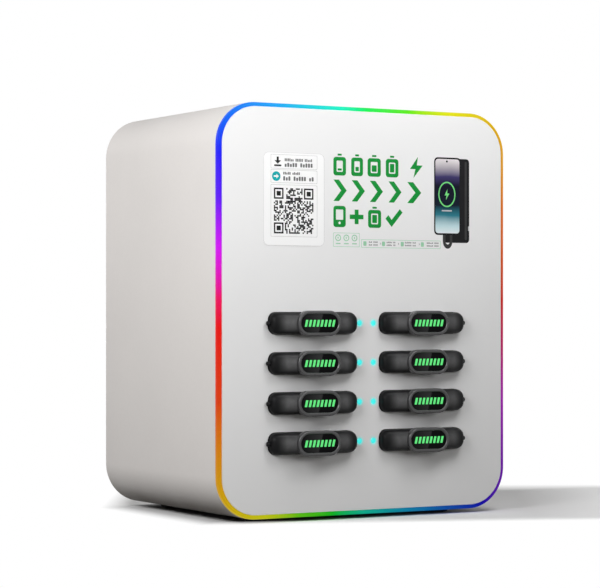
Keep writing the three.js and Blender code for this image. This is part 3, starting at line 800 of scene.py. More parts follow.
class STATION_OT_shell(StationOperator):
    """Outer shell: a sleeve with round corners, a crisp front edge and a softened rear edge"""

    bl_idname = "station.shell"
    bl_label = "Outer shell"

    def execute(self, context):
        wall, edge, rear = self.sizes.wall, self.sizes.edge, self.sizes.rear_edge
        front_y, back_y = SHELL.low[1], SHELL.high[1]
        rows = [(wall, front_y)]
        rows += [(inset, front_y + drop) for inset, drop in reversed(quarter_round(edge, 3))]
        rows += [(0, y) for y in np.linspace(front_y + 2 * edge, back_y - 2 * rear, 5)]
        rows += [(inset, back_y - drop) for inset, drop in quarter_round(rear, 5)]
        rows += [(wall, back_y), (wall, (front_y + back_y) / 2)]
        plastic = moulded(
            "shell_plastic", self.colours.shell, 0.5, grain=1900, depth=0.000012, variation=0.035,
            specular=0.12)
        piece("shell_sleeve", self.body_loft(rows), plastic, "shell_white", "outer_shell")
        return {"FINISHED"}


class STATION_OT_rim(StationOperator):
    """Light guide ring: lit rim flush with the panel and the shell, with a flange behind the panel"""

    bl_idname = "station.rim"
    bl_label = "Lit rim"

    def execute(self, context):
        front_y, back_y = GUIDE.low[1], GUIDE.high[1]
        face = self.sizes.guide_face
        flange = face + 5 * MM
        flange_y = back_y - 1 * MM
        bevel = 0.15 * MM
        rows = [(0, back_y), (0, back_y - 0.2 * MM)]
        rows += [(inset, front_y + drop) for inset, drop in quarter_round(self.sizes.guide_round, 8)]
        rows += [(face - bevel, front_y), (face, front_y + bevel)]
        rows += [(face, flange_y), (flange, flange_y), (flange, back_y)]
        piece("lit_rim", self.body_loft(rows), rim_finish(), "light_guide", "light_guide_ring")
        return {"FINISHED"}


class STATION_OT_plate(StationOperator):
    """Front panel: flat white plate with a slot for each bank and a hole for each indicator"""

    bl_idname = "station.plate"
    bl_label = "Front panel"

    def execute(self, context):
        gap = self.sizes.gap
        half_height = self.bank_sizes.thickness / 2
        corner = self.bank_sizes.flank_round + gap
        hole = self.sizes.indicator + 0.05 * MM
        outlines = [self.inner_outline(PLATE)]
        lights = []
        for side, banks in COLUMNS.items():
            light_x = Span(f"{side}_indicator_guide").middle[0]
            for bank in banks:
                z = bank.middle[2]
                outlines.append(rounded_box(
                    bank.low[0] - gap, z - half_height - gap, bank.high[0] + gap, z + half_height + gap,
                    corner, corner=10))
                outlines.append(disc(light_x, z, hole, sides=48))
                lights.append((light_x, FACE_Y, z))
        finish = plate_finish(self.colours.plate, self.colours.lit_cyan, lights, self.sizes.indicator)
        flat_piece(
            "front_plate", outlines, FACE_Y, PLATE.high[1], 0.25 * MM, finish, "panel_white",
            "front_panel")
        return {"FINISHED"}


def in_bay(surface, bank):
    """A bank's own surface placed in its bay: half a turn about Y for the right column."""
    points, faces = surface
    signs = (-1, 1, -1) if bank.middle[0] > 0 else (1, 1, 1)
    return points * signs + [bank.middle[0], FACE_Y, bank.middle[2]], faces


def rounded_end(radius, length, breadth, rise, turns):
    """The rounded end of a turned profile: an ellipse's arc from the side towards the tip."""
    return [
        (radius - breadth * (1 - math.cos(turn)), length - rise * (1 - math.sin(turn))) for turn in turns]


class STATION_OT_banks(StationOperator):
    """Power banks: case with a bowed nose, oval rim, display window, charge gauge and button"""

    bl_idname = "station.banks"
    bl_label = "Power banks"

    def case_surface(self):
        """A rounded bar whose nose bows out both ways and whose edges are quarter circles.

        At the nose, Y is a circle's arc across X, plus the crown times (Z / half thickness) squared, plus
        the drop of the edge's quarter circle. The end faces shrink to the bar's middle line.
        """
        sizes = self.bank_sizes
        half_x = BANKS[0].size[0] / 2
        half_z = sizes.thickness / 2
        reach = BANKS[0].high[1] - FACE_Y
        bow_radius = (half_x**2 + sizes.bow**2) / (2 * sizes.bow)
        crown = sizes.nose_end + sizes.bow

        def bow(x, z):
            """How far in front of the panel the nose lies, as a negative Y."""
            return -(crown - bow_radius + np.sqrt(bow_radius**2 - x**2)) + sizes.crown * (z / half_z) ** 2

        rows = [(inset, 0, 1) for inset in np.linspace(half_z, sizes.nose_round, 6)[:-1]]
        rows += [(inset, drop, 1) for inset, drop in reversed(quarter_round(sizes.nose_round, 8))]
        rows += [(0, y, 0) for y in np.linspace(1 * MM, reach - sizes.rear_round, 9)]
        rows += [(inset, reach - drop, 0) for inset, drop in quarter_round(sizes.rear_round, 6)]
        rows += [(inset, reach, 0) for inset in np.linspace(sizes.rear_round, half_z, 4)[1:]]
        loops = [
            (half_x - inset, half_z - inset, max(sizes.flank_round - inset, 0), y, share)
            for inset, y, share in rows]
        return lofted(loops, straight=(36, 4), corner=10, bow=bow)

    def cut_case(self):
        """The case with its button hole and its latch notch cut into the outer flank."""
        flank = -BANKS[0].size[0] / 2
        latch = Span("lock_latch_1")
        play = 0.3 * MM
        notch = latch.size[2] / 2 - 1.2 * MM + play
        latch_y = latch.middle[1] - FACE_Y
        bore = BUTTON.size[2] / 2 + play
        hole = turned(
            [(bore, -1 * MM), (bore, 3.6 * MM)], (flank, BUTTON.middle[1] - FACE_Y, 0), (1, 0, 0))
        slot = lofted(
            [(2.5 * MM, notch, 0.6 * MM, y) for y in (latch_y - notch, latch_y + notch)], (flank, 0),
            corner=4)
        whole = carved(mesh_of("case", self.case_surface()), joined(hole, slot))
        return points_of(whole), [list(face.vertices) for face in whole.polygons]

    def rim_surface(self):
        """Oval rim: rounded outside, a flat face, and a bevel down to the window."""
        sizes = self.bank_sizes
        half_x, half_z = sizes.rim_width / 2, sizes.rim_height / 2
        front = BANKS[0].low[1] - FACE_Y
        back = front + 5 * MM
        band = sizes.rim_band
        profile = [(0.5 * MM, back), (0, back - 0.8 * MM)]
        profile += [(inset, front + drop) for inset, drop in quarter_round(0.9 * MM, 5)]
        profile += [(band - 0.5 * MM, front), (band, front + 0.5 * MM), (band, front + 2.2 * MM)]
        profile += [(band + 0.4 * MM, back)]
        rows = [(half_x - inset, half_z - inset, half_z - inset, y) for inset, y in profile]
        return lofted(rows, closed=True, straight=(6, 1), corner=16)

    def window_surface(self):
        """Display window: a shallow dome between the rim's inner walls."""
        sizes = self.bank_sizes
        inset = sizes.rim_band + 0.08 * MM
        half_x, half_z = sizes.rim_width / 2 - inset, sizes.rim_height / 2 - inset
        front = WINDOW.low[1] - FACE_Y
        rise = 0.25 * MM
        rows = [(half_x, half_z, half_z, front + 1.6 * MM)]
        for share in np.linspace(0, 1, 9):
            shrink = share * half_z
            y = front + rise * (1 - math.sin(share * math.pi / 2))
            rows.append((half_x - shrink, half_z - shrink, half_z - shrink, y))
        return lofted(rows, straight=(10, 1), corner=12)

    def button_surface(self):
        """Button: a short domed pin that points out of the bank's end."""
        radius, length = BUTTON.size[2] / 2, BUTTON.size[0]
        rise = 1.0 * MM
        profile = [(radius * 0.9, 0), (radius, 0.2 * MM), (radius, length - rise)]
        profile += rounded_end(radius, length, radius, rise, np.linspace(0.15, math.pi / 2 - 0.05, 7))
        base = (BUTTON.high[0] - BANKS[0].middle[0], BUTTON.middle[1] - FACE_Y, 0)
        return turned(profile, base, (-1, 0, 0))

    def execute(self, context):
        colours = self.colours
        surfaces = (self.cut_case(), self.rim_surface(), self.window_surface(), self.button_surface())
        black = bank_finish(colours.bank, colours.bank_painted_sheen_tone)
        grey = moulded("bank_rim", colours.rim, 0.3, grain=2200, depth=0.00001)
        satin = moulded("bank_button", colours.bank, 0.45, grain=2000, specular=0.14)
        green = lit_finish("gauge_light", colours.lit_green, 1.0)
        for number, bank in enumerate(BANKS, 1):
            name = f"bank_{number}"
            case, rim, window, button = [in_bay(surface, bank) for surface in surfaces]
            shell = piece(f"{name}_shell", case, black, "bank_black", f"{name}_case", body=name)
            self.mark_painted_sheen(shell.data, bank)
            piece(f"{name}_rim", rim, grey, "bank_black", body=name)
            display = self.display(number, bank)
            piece(f"{name}_display", window, display, "window_black", f"{name}_window", body=name)
            piece(
                f"{name}_push", button, satin, "button_black", f"{name}_button",
                body=f"bank_button_{number}")
            self.gauge(name, bank, green)
        return {"FINISHED"}

    def mark_painted_sheen(self, mesh, bank):
        """Keeps how much painted sheen each point gets: most along the nose's middle, fading to its edges
        and ends.
        """
        local = points_of(mesh) - [bank.middle[0], FACE_Y, bank.middle[2]]
        half_x, half_z = bank.size[0] / 2, self.bank_sizes.thickness / 2
        along = np.clip((half_x - np.abs(local[:, 0]) - 3.5 * MM) / (7 * MM), 0, 1)
        across = np.clip(1 - (local[:, 2] / half_z) ** 2, 0, 1) ** 1.6
        level = along**1.5 * across * (local[:, 1] < -self.bank_sizes.nose_end / 2)
        attribute = mesh.attributes.new("handled", "FLOAT", "POINT")
        attribute.data.foreach_set("value", level.astype(np.float32))

    def display(self, number, bank):
        """Black window with a painted reflection: paler over its left part, up to a slanting edge."""
        finish = Finish(f"display_{number}", specular=0.05)
        across = finish.axis(0) - bank.middle[0]
        up = finish.axis(2) - bank.middle[2]
        # Painted reflection: a paler tone left of a slanting edge, fading out towards the window's left
        # end.
        painted_reflection = finish.spread(across - up * 0.27, 1, 0, 0.0006, 0.0010)
        fade = finish.spread(across, 0.08, 1.0, -0.014, 0.001)
        finish.set(
            base=finish.mix(painted_reflection * fade, (0.0015, 0.0015, 0.002), (0.036, 0.036, 0.037)),
            roughness=finish.spread(finish.noise(120, 3), 0.05, 0.10))
        return finish.material

    def gauge(self, name, bank, material):
        """Charge gauge: slanted lit bars across the middle of the window."""
        half_width, half_height, slant = 12.4 * MM, 2.4 * MM, 0.9 * MM
        bars, thick = self.bank_sizes.gauge_bars, 0.58
        pitch = (2 * half_width - slant) / (bars - (1 - thick))
        x, z = bank.middle[0], bank.middle[2]
        outlines = []
        for index in range(bars):
            left = x - half_width + index * pitch
            outlines.append(drawn(
                SLANTED, left, z - half_height, left + thick * pitch + slant, z + half_height))
        front, back = bank.low[1] + 0.05 * MM, WINDOW.low[1] + 0.35 * MM
        flat_piece(f"{name}_gauge", outlines, front, back, 0.05 * MM, material, "window_black", body=name)


class STATION_OT_indicators(StationOperator):
    """Indicator lights: a bar behind the panel and a domed pin in each of its holes"""

    bl_idname = "station.indicators"
    bl_label = "Indicator lights"

    def execute(self, context):
        lit = lit_finish("indicator_light", self.colours.lit_cyan, 0.76)
        radius = self.sizes.indicator
        back = PLATE.high[1]
        rise = 0.45 * MM
        for side, banks in COLUMNS.items():
            node = f"{side}_indicator_guide"
            guide = Span(node)
            half_z = guide.size[2] / 2
            bar = lofted([
                (1.3 * MM, half_z, 0.3 * MM, back + 0.2 * MM),
                (1.5 * MM, half_z, 0.4 * MM, back + 0.4 * MM),
                (1.5 * MM, half_z, 0.4 * MM, guide.high[1]),
            ], (guide.middle[0], guide.middle[2]), corner=3)
            base = back + 0.5 * MM
            depth = base - guide.low[1]
            profile = [(radius, 0), (radius, depth - rise)]
            profile += rounded_end(radius, depth, radius, rise, np.linspace(0.2, math.pi / 2 - 0.03, 6))
            pins = [
                turned(profile, (guide.middle[0], base, bank.middle[2]), (0, -1, 0), 28)
                for bank in banks]
            piece(f"{side}_indicator_lights", joined(bar, *pins), lit, "indicator_cyan", node)
        return {"FINISHED"}


class STATION_OT_label(StationOperator):
    """Instruction label: white sheet with frames, a painted shadow line just inside its edge, two symbols,
    lines of small print and a dot code
    """

    bl_idname = "station.label"
    bl_label = "Instruction label"

    def execute(self, context):
        low, high = LABEL.low, LABEL.high
        radius = 4 * MM
        # The sheet's outline, and two outlines just inside it that bound a thin grey line: a painted
        # shadow round the label's edge.
        outer = [
            rounded_box(
                low[0] + inset, low[2] + inset, high[0] - inset, high[2] - inset, radius - inset, corner=8)
            for inset in (0, 0.12 * MM, 0.30 * MM)]
        flat_piece(
            "label_sheet", outer[:1], low[1] + 0.08 * MM, high[1], 0.04 * MM,
            paper_finish("label_paper", (0.97, 0.97, 0.97)), "label_white", "instruction_label")
        margin = 5.9 * MM
        left, right, top = low[0] + margin, high[0] - margin, high[2]
        # The frames start with the painted shadow line round the label's edge; the rest are printed
        # frames.
        frames = outer[1:]
        for frame_top, frame_bottom in ((1.6, 11.5), (12.2, 21.5), (22.7, 59.2)):
            for inset in (0, 0.22 * MM):
                frames.append(rounded_box(
                    left + inset, top - frame_bottom * MM + inset, right - inset,
                    top - frame_top * MM - inset, 0.6 * MM, corner=3))
        black = ink_finish("black_ink", self.colours.ink_black)
        x, z = left + 2.7 * MM, top - 9.9 * MM
        tray = rounded_box(x, z, left + 8.5 * MM, z + 1.2 * MM, 0.3 * MM, 2)
        download = [drawn(DOWN, x, z, left + 8.5 * MM, top - 3.2 * MM), tray]
        x, z = left + 4.4 * MM, top - 16.9 * MM
        arrow = drawn(ARROW, x - 2 * MM, z - 2 * MM, x + 2.2 * MM, z + 2 * MM)
        lines = []
        text = left + 11.2 * MM
        for line_left, line_right, line_low, line_high, pitch, seed in (
                (0, 22.8, 6.3, 4.2, 1.25, 3), (0, 22.8, 10.2, 7.3, 2.1, 5),
                (-1.2, 12.3, 15.6, 13.7, 1.25, 8), (-1.2, 24.4, 19.8, 16.8, 2.1, 11)):
            lines += word_blocks(
                text + line_left * MM, top - line_low * MM, text + line_right * MM, top - line_high * MM,
                pitch * MM, seed)
        for name, outlines, ink in (
                ("frames", frames, ink_finish("frame_ink", (0.55, 0.55, 0.55))),
                ("symbol_upper", download, black),
                ("symbol_lower", [disc(x, z, 3.4 * MM), arrow], ink_finish("teal_ink", (0, 0.42, 0.45))),
                ("small_print", lines, ink_finish("grey_ink", self.colours.ink_grey)),
                ("code", self.code(left, top), black)):
            flat_piece(
                f"label_{name}", outlines, low[1] + 0.03 * MM, low[1] + 0.1 * MM, 0.008 * MM, ink,
                "label_white")
        return {"FINISHED"}

    def code(self, left, top):
        """A square of dots with a nested square in three corners. The dots are random and say nothing."""
        count, nested, corner = 29, 7, 8
        step = 32 * MM / count
        low_x, low_z = left + 2.5 * MM, top - 57 * MM
        dots = np.random.default_rng(20).random((count, count)) < 0.47
        dots[:corner, :corner] = False
        dots[-corner:, :corner] = False
        dots[:corner, -corner:] = False
        outlines = []
        for column, row in zip(*np.nonzero(dots)):
            x, z = low_x + column * step, low_z + (count - 1 - row) * step
            outlines.append(rounded_box(x, z, x + step * 0.96, z + step * 0.96, 0, corner=1)[::2])
        for column, row in ((0, 0), (count - nested, 0), (0, count - nested)):
            x, z = low_x + column * step, low_z + (count - nested - row) * step
            for inset in (0, 1, 2):
                start, end = inset * step, (nested - inset) * step
                outlines.append(rounded_box(x + start, z + start, x + end, z + end, 0.1 * step, corner=1))
        return outlines


# The print's heights are given in millimetres above this level: the label's lower edge is at 194.
PRINT_BASE = LABEL.low[2] - 194 * MM


def area(low_x, low_z, high_x, high_z):
    """A box on the panel in metres, given in millimetres across its middle and above the print's base."""
    return (low_x * MM, low_z * MM + PRINT_BASE, high_x * MM, high_z * MM + PRINT_BASE)


class STATION_OT_print(StationOperator):
    """Green print on the panel: rows of large symbols, and two framed rows of small ones"""

    bl_idname = "station.print"
    bl_label = "Green print"

    def execute(self, context):
        inks = self.colours
        for name, outlines, ink in (
                ("green_symbols", self.symbols(), ink_finish("green_ink", inks.ink_green)),
                ("small_frames", self.frames(), ink_finish("pale_green_ink", inks.ink_pale)),
                ("small_words", self.words(), ink_finish("fine_grey_ink", (0.3, 0.3, 0.3)))):
            flat_piece(
                name, outlines, FACE_Y - 0.08 * MM, FACE_Y + 0.02 * MM, 0.01 * MM, ink, "panel_white")
        return {"FINISHED"}

    def symbols(self):
        """Three rows of large symbols: batteries and a bolt, chevrons, and a phone to a tick."""
        stroke = 2.6 * MM
        outlines = []
        for quarters, (left, right) in enumerate(
                ((-27.6, -17.2), (-12.8, -3.0), (0.9, 12.0), (16.3, 27.0)), 1):
            outlines += cell_symbol(*area(left, 244.7, right, 260.2), stroke, 0.25 * quarters)
        outlines.append(drawn(BOLT, *area(36.2, 244.7, 48.4, 260.2)))
        for left in (-27.6, -12.4, 2.8, 18.6, 34.6):
            right = left + (12 if left > 30 else 11)
            outlines.append(drawn(CHEVRON, *area(left, 226.5, right, 241.7)))
        outlines += phone_symbol(*area(-27.6, 208.0, -17.4, 223.1), stroke)
        outlines.append(drawn(PLUS, *area(-14.0, 209.8, -2.6, 221.3)))
        outlines += cell_symbol(*area(1.3, 208.0, 12.3, 223.1), stroke, 1.0)
        outlines.append(drawn(TICK, *area(16.0, 208.0, 30.5, 223.1)))
        return outlines

    def frames(self):
        """Two framed rows: ringed bolts over short bars, and a small block before each group of words."""
        outlines = []
        for low_x, low_z, high_x, high_z in ((-27.7, 194.0, -5.9, 204.0), (-4.4, 193.7, 63.3, 199.6)):
            for inset in (0, 0.28):
                box = area(low_x + inset, low_z + inset, high_x - inset, high_z - inset)
                outlines.append(rounded_box(*box, 0.5 * MM, corner=3))
        for x in (-23.7, -16.9, -10.1):
            middle = area(x, 200.4, x, 200.4)[:2]
            outlines += [disc(*middle, radius * MM, sides=24) for radius in (2.4, 1.7)]
            outlines.append(drawn(BOLT, *area(x - 0.9, 199.1, x + 0.9, 201.7)))
            outlines.append(rounded_box(*area(x - 2, 195.9, x + 2, 196.7), 0.3 * MM, corner=2))
        for x in (-1.4, 14.3, 30.3, 47.6):
            outlines.append(rounded_box(*area(x - 1.3, 195.0, x + 1.3, 198.3), 0.6 * MM, corner=3))
        return outlines

    def words(self):
        """Four groups of two short lines, with a small chevron between one group and the next."""
        outlines = []
        groups = ((2.0, 9.9), (17.0, 24.9), (32.6, 42.4), (51.4, 61.8))
        for seed, (left, right) in enumerate(groups, 30):
            for low_z, high_z in ((197.2, 198.3), (195.2, 196.3)):
                outlines += word_blocks(*area(left, low_z, right, high_z), 0.95 * MM, seed)
        for x in (11.6, 27.0, 44.9):
            outlines.append(drawn(CHEVRON, *area(x - 0.5, 196.1, x + 0.5, 197.5)))
        return outlines


class STATION_OT_picture(StationOperator):
    """Printed picture: a phone with a charging ring, a bank behind it and a short lead between them"""

    bl_idname = "station.picture"
    bl_label = "Phone picture"

    def execute(self, context):
        def box(low_x, low_z, high_x, high_z, radius):
            """A rounded box on the panel, all in millimetres."""
            return rounded_box(*area(low_x, low_z, high_x, high_z), radius * MM)

        dark = ink_finish("picture_dark", (0.010, 0.010, 0.011))
        edge = ink_finish("picture_edge", (0.045, 0.045, 0.045))
        screen = area(58.9, 205.2, 79.9, 259.4)
        x, ring_z = area(68.9, 233.6, 0, 0)[:2]
        ring = [disc(x, ring_z, wide * MM, (wide + 1.8) * MM, 48) for wide in (7.5, 6.5)]
        ring.append(drawn(BOLT, *area(66.5, 229.4, 71.3, 237.6)))
        camera = disc(*area(68.9, 257.7, 0, 0)[:2], 0.8 * MM)
        marks = [box(64.4, 221.2, 73.3, 222.2, 0.4), box(87.6, 207.2, 88.6, 210.6, 0.3)]
        # Each level of the print lies a little in front of the one below it.
        for name, level, outlines, ink in (
                ("bank", 1, [box(66.2, 198.3, 88.6, 259.9, 2.6)], dark),
                ("bank_edge", 2, [box(84.6, 200.4, 86.6, 258.0, 0.9)], edge),
                ("lead", 2, [self.lead()], edge),
                ("phone", 3, [box(57.8, 203.9, 81.3, 260.6, 3.2)], dark),
                ("screen", 4, [rounded_box(*screen, 2.3 * MM)], screen_finish(screen[1], screen[3])),
                ("charge_ring", 5, ring, ink_finish("picture_green", (0.20, 0.78, 0.24))),
                ("camera", 5, [camera], dark),
                ("marks", 5, marks, ink_finish("picture_pale", (0.60, 0.60, 0.62)))):
            flat_piece(
                f"picture_{name}", outlines, FACE_Y - level * 0.03 * MM, FACE_Y + 0.02 * MM, 0.008 * MM,
                ink, "panel_white")
        return {"FINISHED"}

    def lead(self):
        """A band down from the phone's foot, round a half turn and up to the bank."""
        turn = np.linspace(math.pi, 2 * math.pi, 17)
        middle = np.array(area(69.6, 199.6, 0, 0)[:2])
        foot = np.array([0, 4.6 * MM])
        outer, inner = [
            middle + np.stack([radius * np.cos(turn), 1.35 * radius * np.sin(turn)], axis=1)
            for radius in (4.2 * MM, 1.9 * MM)]
        return np.concatenate([
            [outer[0] + foot], outer, [outer[-1] + foot],
            [inner[-1] + foot], inner[::-1], [inner[0] + foot]])


def fitting(span, foot, wall, mouth, bore, depth, corner):
    """A fitting's frame: a body through the cover, a flange with a rounded edge, and a deep socket.

    The body, the socket's mouth and the socket have the corner radii `foot`, `mouth` and `bore`. All
    sizes are in millimetres.
    """
    face = span.high[1]
    cover_y = COVER.high[1] + 0.2 * MM
    body, flange, bevel = 2.5, 2, 0.4
    rows = [(body, foot, span.low[1]), (body, foot, cover_y), (0, flange, cover_y)]
    rows += [(inset / MM, flange, face - drop) for inset, drop in quarter_round(0.6 * MM, 4)]
    rows += [(wall - bevel, mouth, face)]
    rows += [(wall, bore, face - bevel * MM), (wall, bore, face - depth * MM)]
    half_x, half_z = span.size[0] / 2, span.size[2] / 2
    return lofted(
        [(half_x - inset * MM, half_z - inset * MM, radius * MM, y) for inset, radius, y in rows],
        (span.middle[0], span.middle[2]), corner=corner)


class STATION_OT_rear(StationOperator):
    """Rear: cover with vents, four screws, power inlet and the switch's housing and rocker"""

    bl_idname = "station.rear"
    bl_label = "Rear cover and fittings"

    def execute(self, context):
        self.cover()
        self.screws()
        socket = fitting(INLET, 1, 4, 3.2, 3, 17, 6)
        piece("inlet_socket", socket, self.black("fitting_plastic"), "black_plastic", "power_inlet")
        brass = metal_finish("pin_brass", (0.72, 0.62, 0.40), 0.25)
        piece("inlet_pins", self.pins(), brass, "steel")
        housing = fitting(SWITCH, 0.8, 4.5, 0.6, 0.4, 10, 5)
        piece("switch_frame", housing, self.black("switch_plastic"), "black_plastic", "switch_housing")
        self.marks()
        return {"FINISHED"}

    def black(self, name):
        """Black moulded plastic for a fitting."""
        return moulded(name, (0.018, 0.018, 0.019), 0.42, grain=1500)

    def cover(self):
        """Flat cover with a row of vents and holes for the two fittings and the four screws."""
        outlines = [self.inner_outline(COVER)]
        vents, pitch, half_width, half_height = 7, 8 * MM, 38 * MM, 1.5 * MM
        first = SHELL.low[2] + 196 * MM
        for index in range(vents):
            z = first + index * pitch
            outlines.append(rounded_box(
                -half_width, z - half_height, half_width, z + half_height, half_height, corner=6))
        rim, play = 2.2 * MM, 0.3 * MM
        for span in (INLET, SWITCH):
            outlines.append(rounded_box(
                span.low[0] + rim, span.low[2] + rim, span.high[0] - rim, span.high[2] - rim, 0,
                corner=1)[::2])
        for screw in SCREWS:
            outlines.append(disc(screw.middle[0], screw.middle[2], screw.size[0] / 2 + play))
        plastic = moulded("cover_plastic", self.colours.cover, 0.5, grain=1000, depth=0.00003)
        flat_piece(
            "rear_plate", outlines, COVER.low[1], COVER.high[1], 0.4 * MM, plastic, "cover_grey",
            "rear_cover")

    def screws(self):
        """Pan-head screws with a cross recess: a turned head with two crossed blades cut out."""
        steel = metal_finish("screw_steel", (0.56, 0.55, 0.53), 0.3)
        for number, span in enumerate(SCREWS, 1):
            radius, length = span.size[0] / 2, span.size[1]
            neck, shank = length - 1.5 * MM, 1.3 * MM
            profile = [(0.6 * MM, 0), (shank, 0.9 * MM), (shank, neck), (radius, neck)]
            profile += rounded_end(radius, length, 1.1 * MM, 0.9 * MM, np.linspace(0, math.pi / 2, 6))
            whole = turned(profile, (span.middle[0], span.low[1], span.middle[2]), (0, 1, 0), 40)
            recess = (span.high[1] - 0.9 * MM, span.high[1] + 1 * MM)
            middle = (span.middle[0], span.middle[2])
            blades = [
                lofted([(half_x, half_z, 0.1 * MM, y) for y in recess], middle, corner=2)
                for half_x, half_z in ((0.4 * MM, 1.7 * MM), (1.7 * MM, 0.4001 * MM))]
            name = f"cover_screw_{number}"
            mesh = carved(mesh_of(name, whole), joined(*blades), crossed=True)
            tidy_mesh(mesh)
            settle(name, mesh, steel, "steel", f"rear_{name}")

    def pins(self):
        """The inlet's three flat pins, each with a tapered tip."""
        profile = ((1.0, 2.0, -17.5), (1.0, 2.0, -6.3), (0.8, 1.8, -5.7), (0.45, 1.5, -5.5))
        rows = [(wide * MM, tall * MM, 0.35 * MM, INLET.high[1] + y * MM) for wide, tall, y in profile]
        return joined(*[
            lofted(rows, (INLET.middle[0] + x * MM, INLET.middle[2] + z * MM), corner=3)
            for x, z in ((-7, -1), (7, -1), (0, 4))])

    def marks(self):
        """A bar and a ring on the rocker's two halves, laid on its sloping faces."""
        tilt = next(joint for joint in frame["joints"] if joint["name"] == "switch_rocker_tilt")
        white = ink_finish("mark_ink", (0.75, 0.75, 0.75))
        rise, reach = 2.0 * MM, 4.2 * MM
        slope = math.atan(0.8 / 7.8)
        lean = Matrix.Rotation(math.radians(sum(tilt["range_deg"]) / 2), 4, "X")
        on_rocker = Matrix.Translation(Vector(tilt["pos_m"])) @ lean @ Matrix.Translation((0, rise, 0))
        bar = rounded_box(-0.35 * MM, -1.7 * MM, 0.35 * MM, 1.7 * MM, 0.1 * MM, corner=2)
        ring = [disc(0, 0, 1.7 * MM), disc(0, 0, 1.15 * MM)]
        for place, outlines, side in (("upper", [bar], 1), ("lower", ring, -1)):
            mark = flat_piece(
                f"rocker_mark_{place}", outlines, -0.04 * MM, 0.06 * MM, 0.01 * MM, white, "rocker_black",
                body="rocker")
            on_face = Matrix.Rotation(-side * slope, 4, "X") @ Matrix.Translation((0, 0, side * reach))
            mark.data.transform(on_rocker @ on_face)
            mark.data.update()


class STATION_OT_feet(StationOperator):
    """Feet: low rubber pads with a turned groove and a rounded lower edge"""

    bl_idname = "station.feet"
    bl_label = "Feet"

    def execute(self, context):
        rubber = moulded(
            "foot_rubber", (0.022, 0.022, 0.023), 0.78, grain=1100, depth=0.00004, variation=0.3)
        for place in ("front_left", "front_right", "rear_left", "rear_right"):
            span = Span(f"foot_{place}")
            radius, height = span.size[0] / 2, span.size[2]
            profile = [
                (radius * 0.45, 0.35 * MM), (radius * 0.5, 0), (radius - 1.0 * MM, 0),
                (radius - 0.5 * MM, 0.15 * MM), (radius - 0.1 * MM, 0.55 * MM), (radius, 1.1 * MM),
                (radius, height - 0.6 * MM), (radius - 0.4 * MM, height - 0.35 * MM),
                (radius - 0.4 * MM, height),
            ]
            pad = turned(profile, (span.middle[0], span.middle[1], span.low[2]), (0, 0, 1), 48)
            piece(f"pad_{place}", pad, rubber, "foot_rubber", f"foot_{place}")
        return {"FINISHED"}


class STATION_OT_inside(StationOperator):
    """Inner pieces: finishes for the racks, locks, boards, supply, light strip and rocker"""

    bl_idname = "station.inside"
    bl_label = "Inner pieces"

    def execute(self, context):
        finishes = (
            (moulded("rack_plastic", (0.028, 0.029, 0.032), 0.5, grain=900, depth=0.00003),
             ["left_rack", "right_rack"]),
            (moulded("housing_plastic", (0.016, 0.016, 0.017), 0.45),
             ["left_lock_housings", "right_lock_housings"]),
            (metal_finish("latch_steel", (0.56, 0.55, 0.53), 0.25, stretch=(0.2, 1, 1)),
             [f"lock_latch_{number}" for number in range(1, 9)]),
            (metal_finish("supply_sheet", (0.60, 0.61, 0.63), 0.32, stretch=(0.1, 1, 1)),
             ["power_supply"]),
            (board_finish(), ["left_contact_board", "right_contact_board", "main_board"]),
            (moulded("rocker_plastic", (0.012, 0.012, 0.013), 0.2, grain=1500, depth=0.000006),
             ["switch_rocker"]),
            (strip_finish(), ["light_strip"]),
        )
        for material, nodes in finishes:
            for node in nodes:
                mesh = frame["nodes"][node].data
                mesh.materials.clear()
                mesh.materials.append(material)
        return {"FINISHED"}


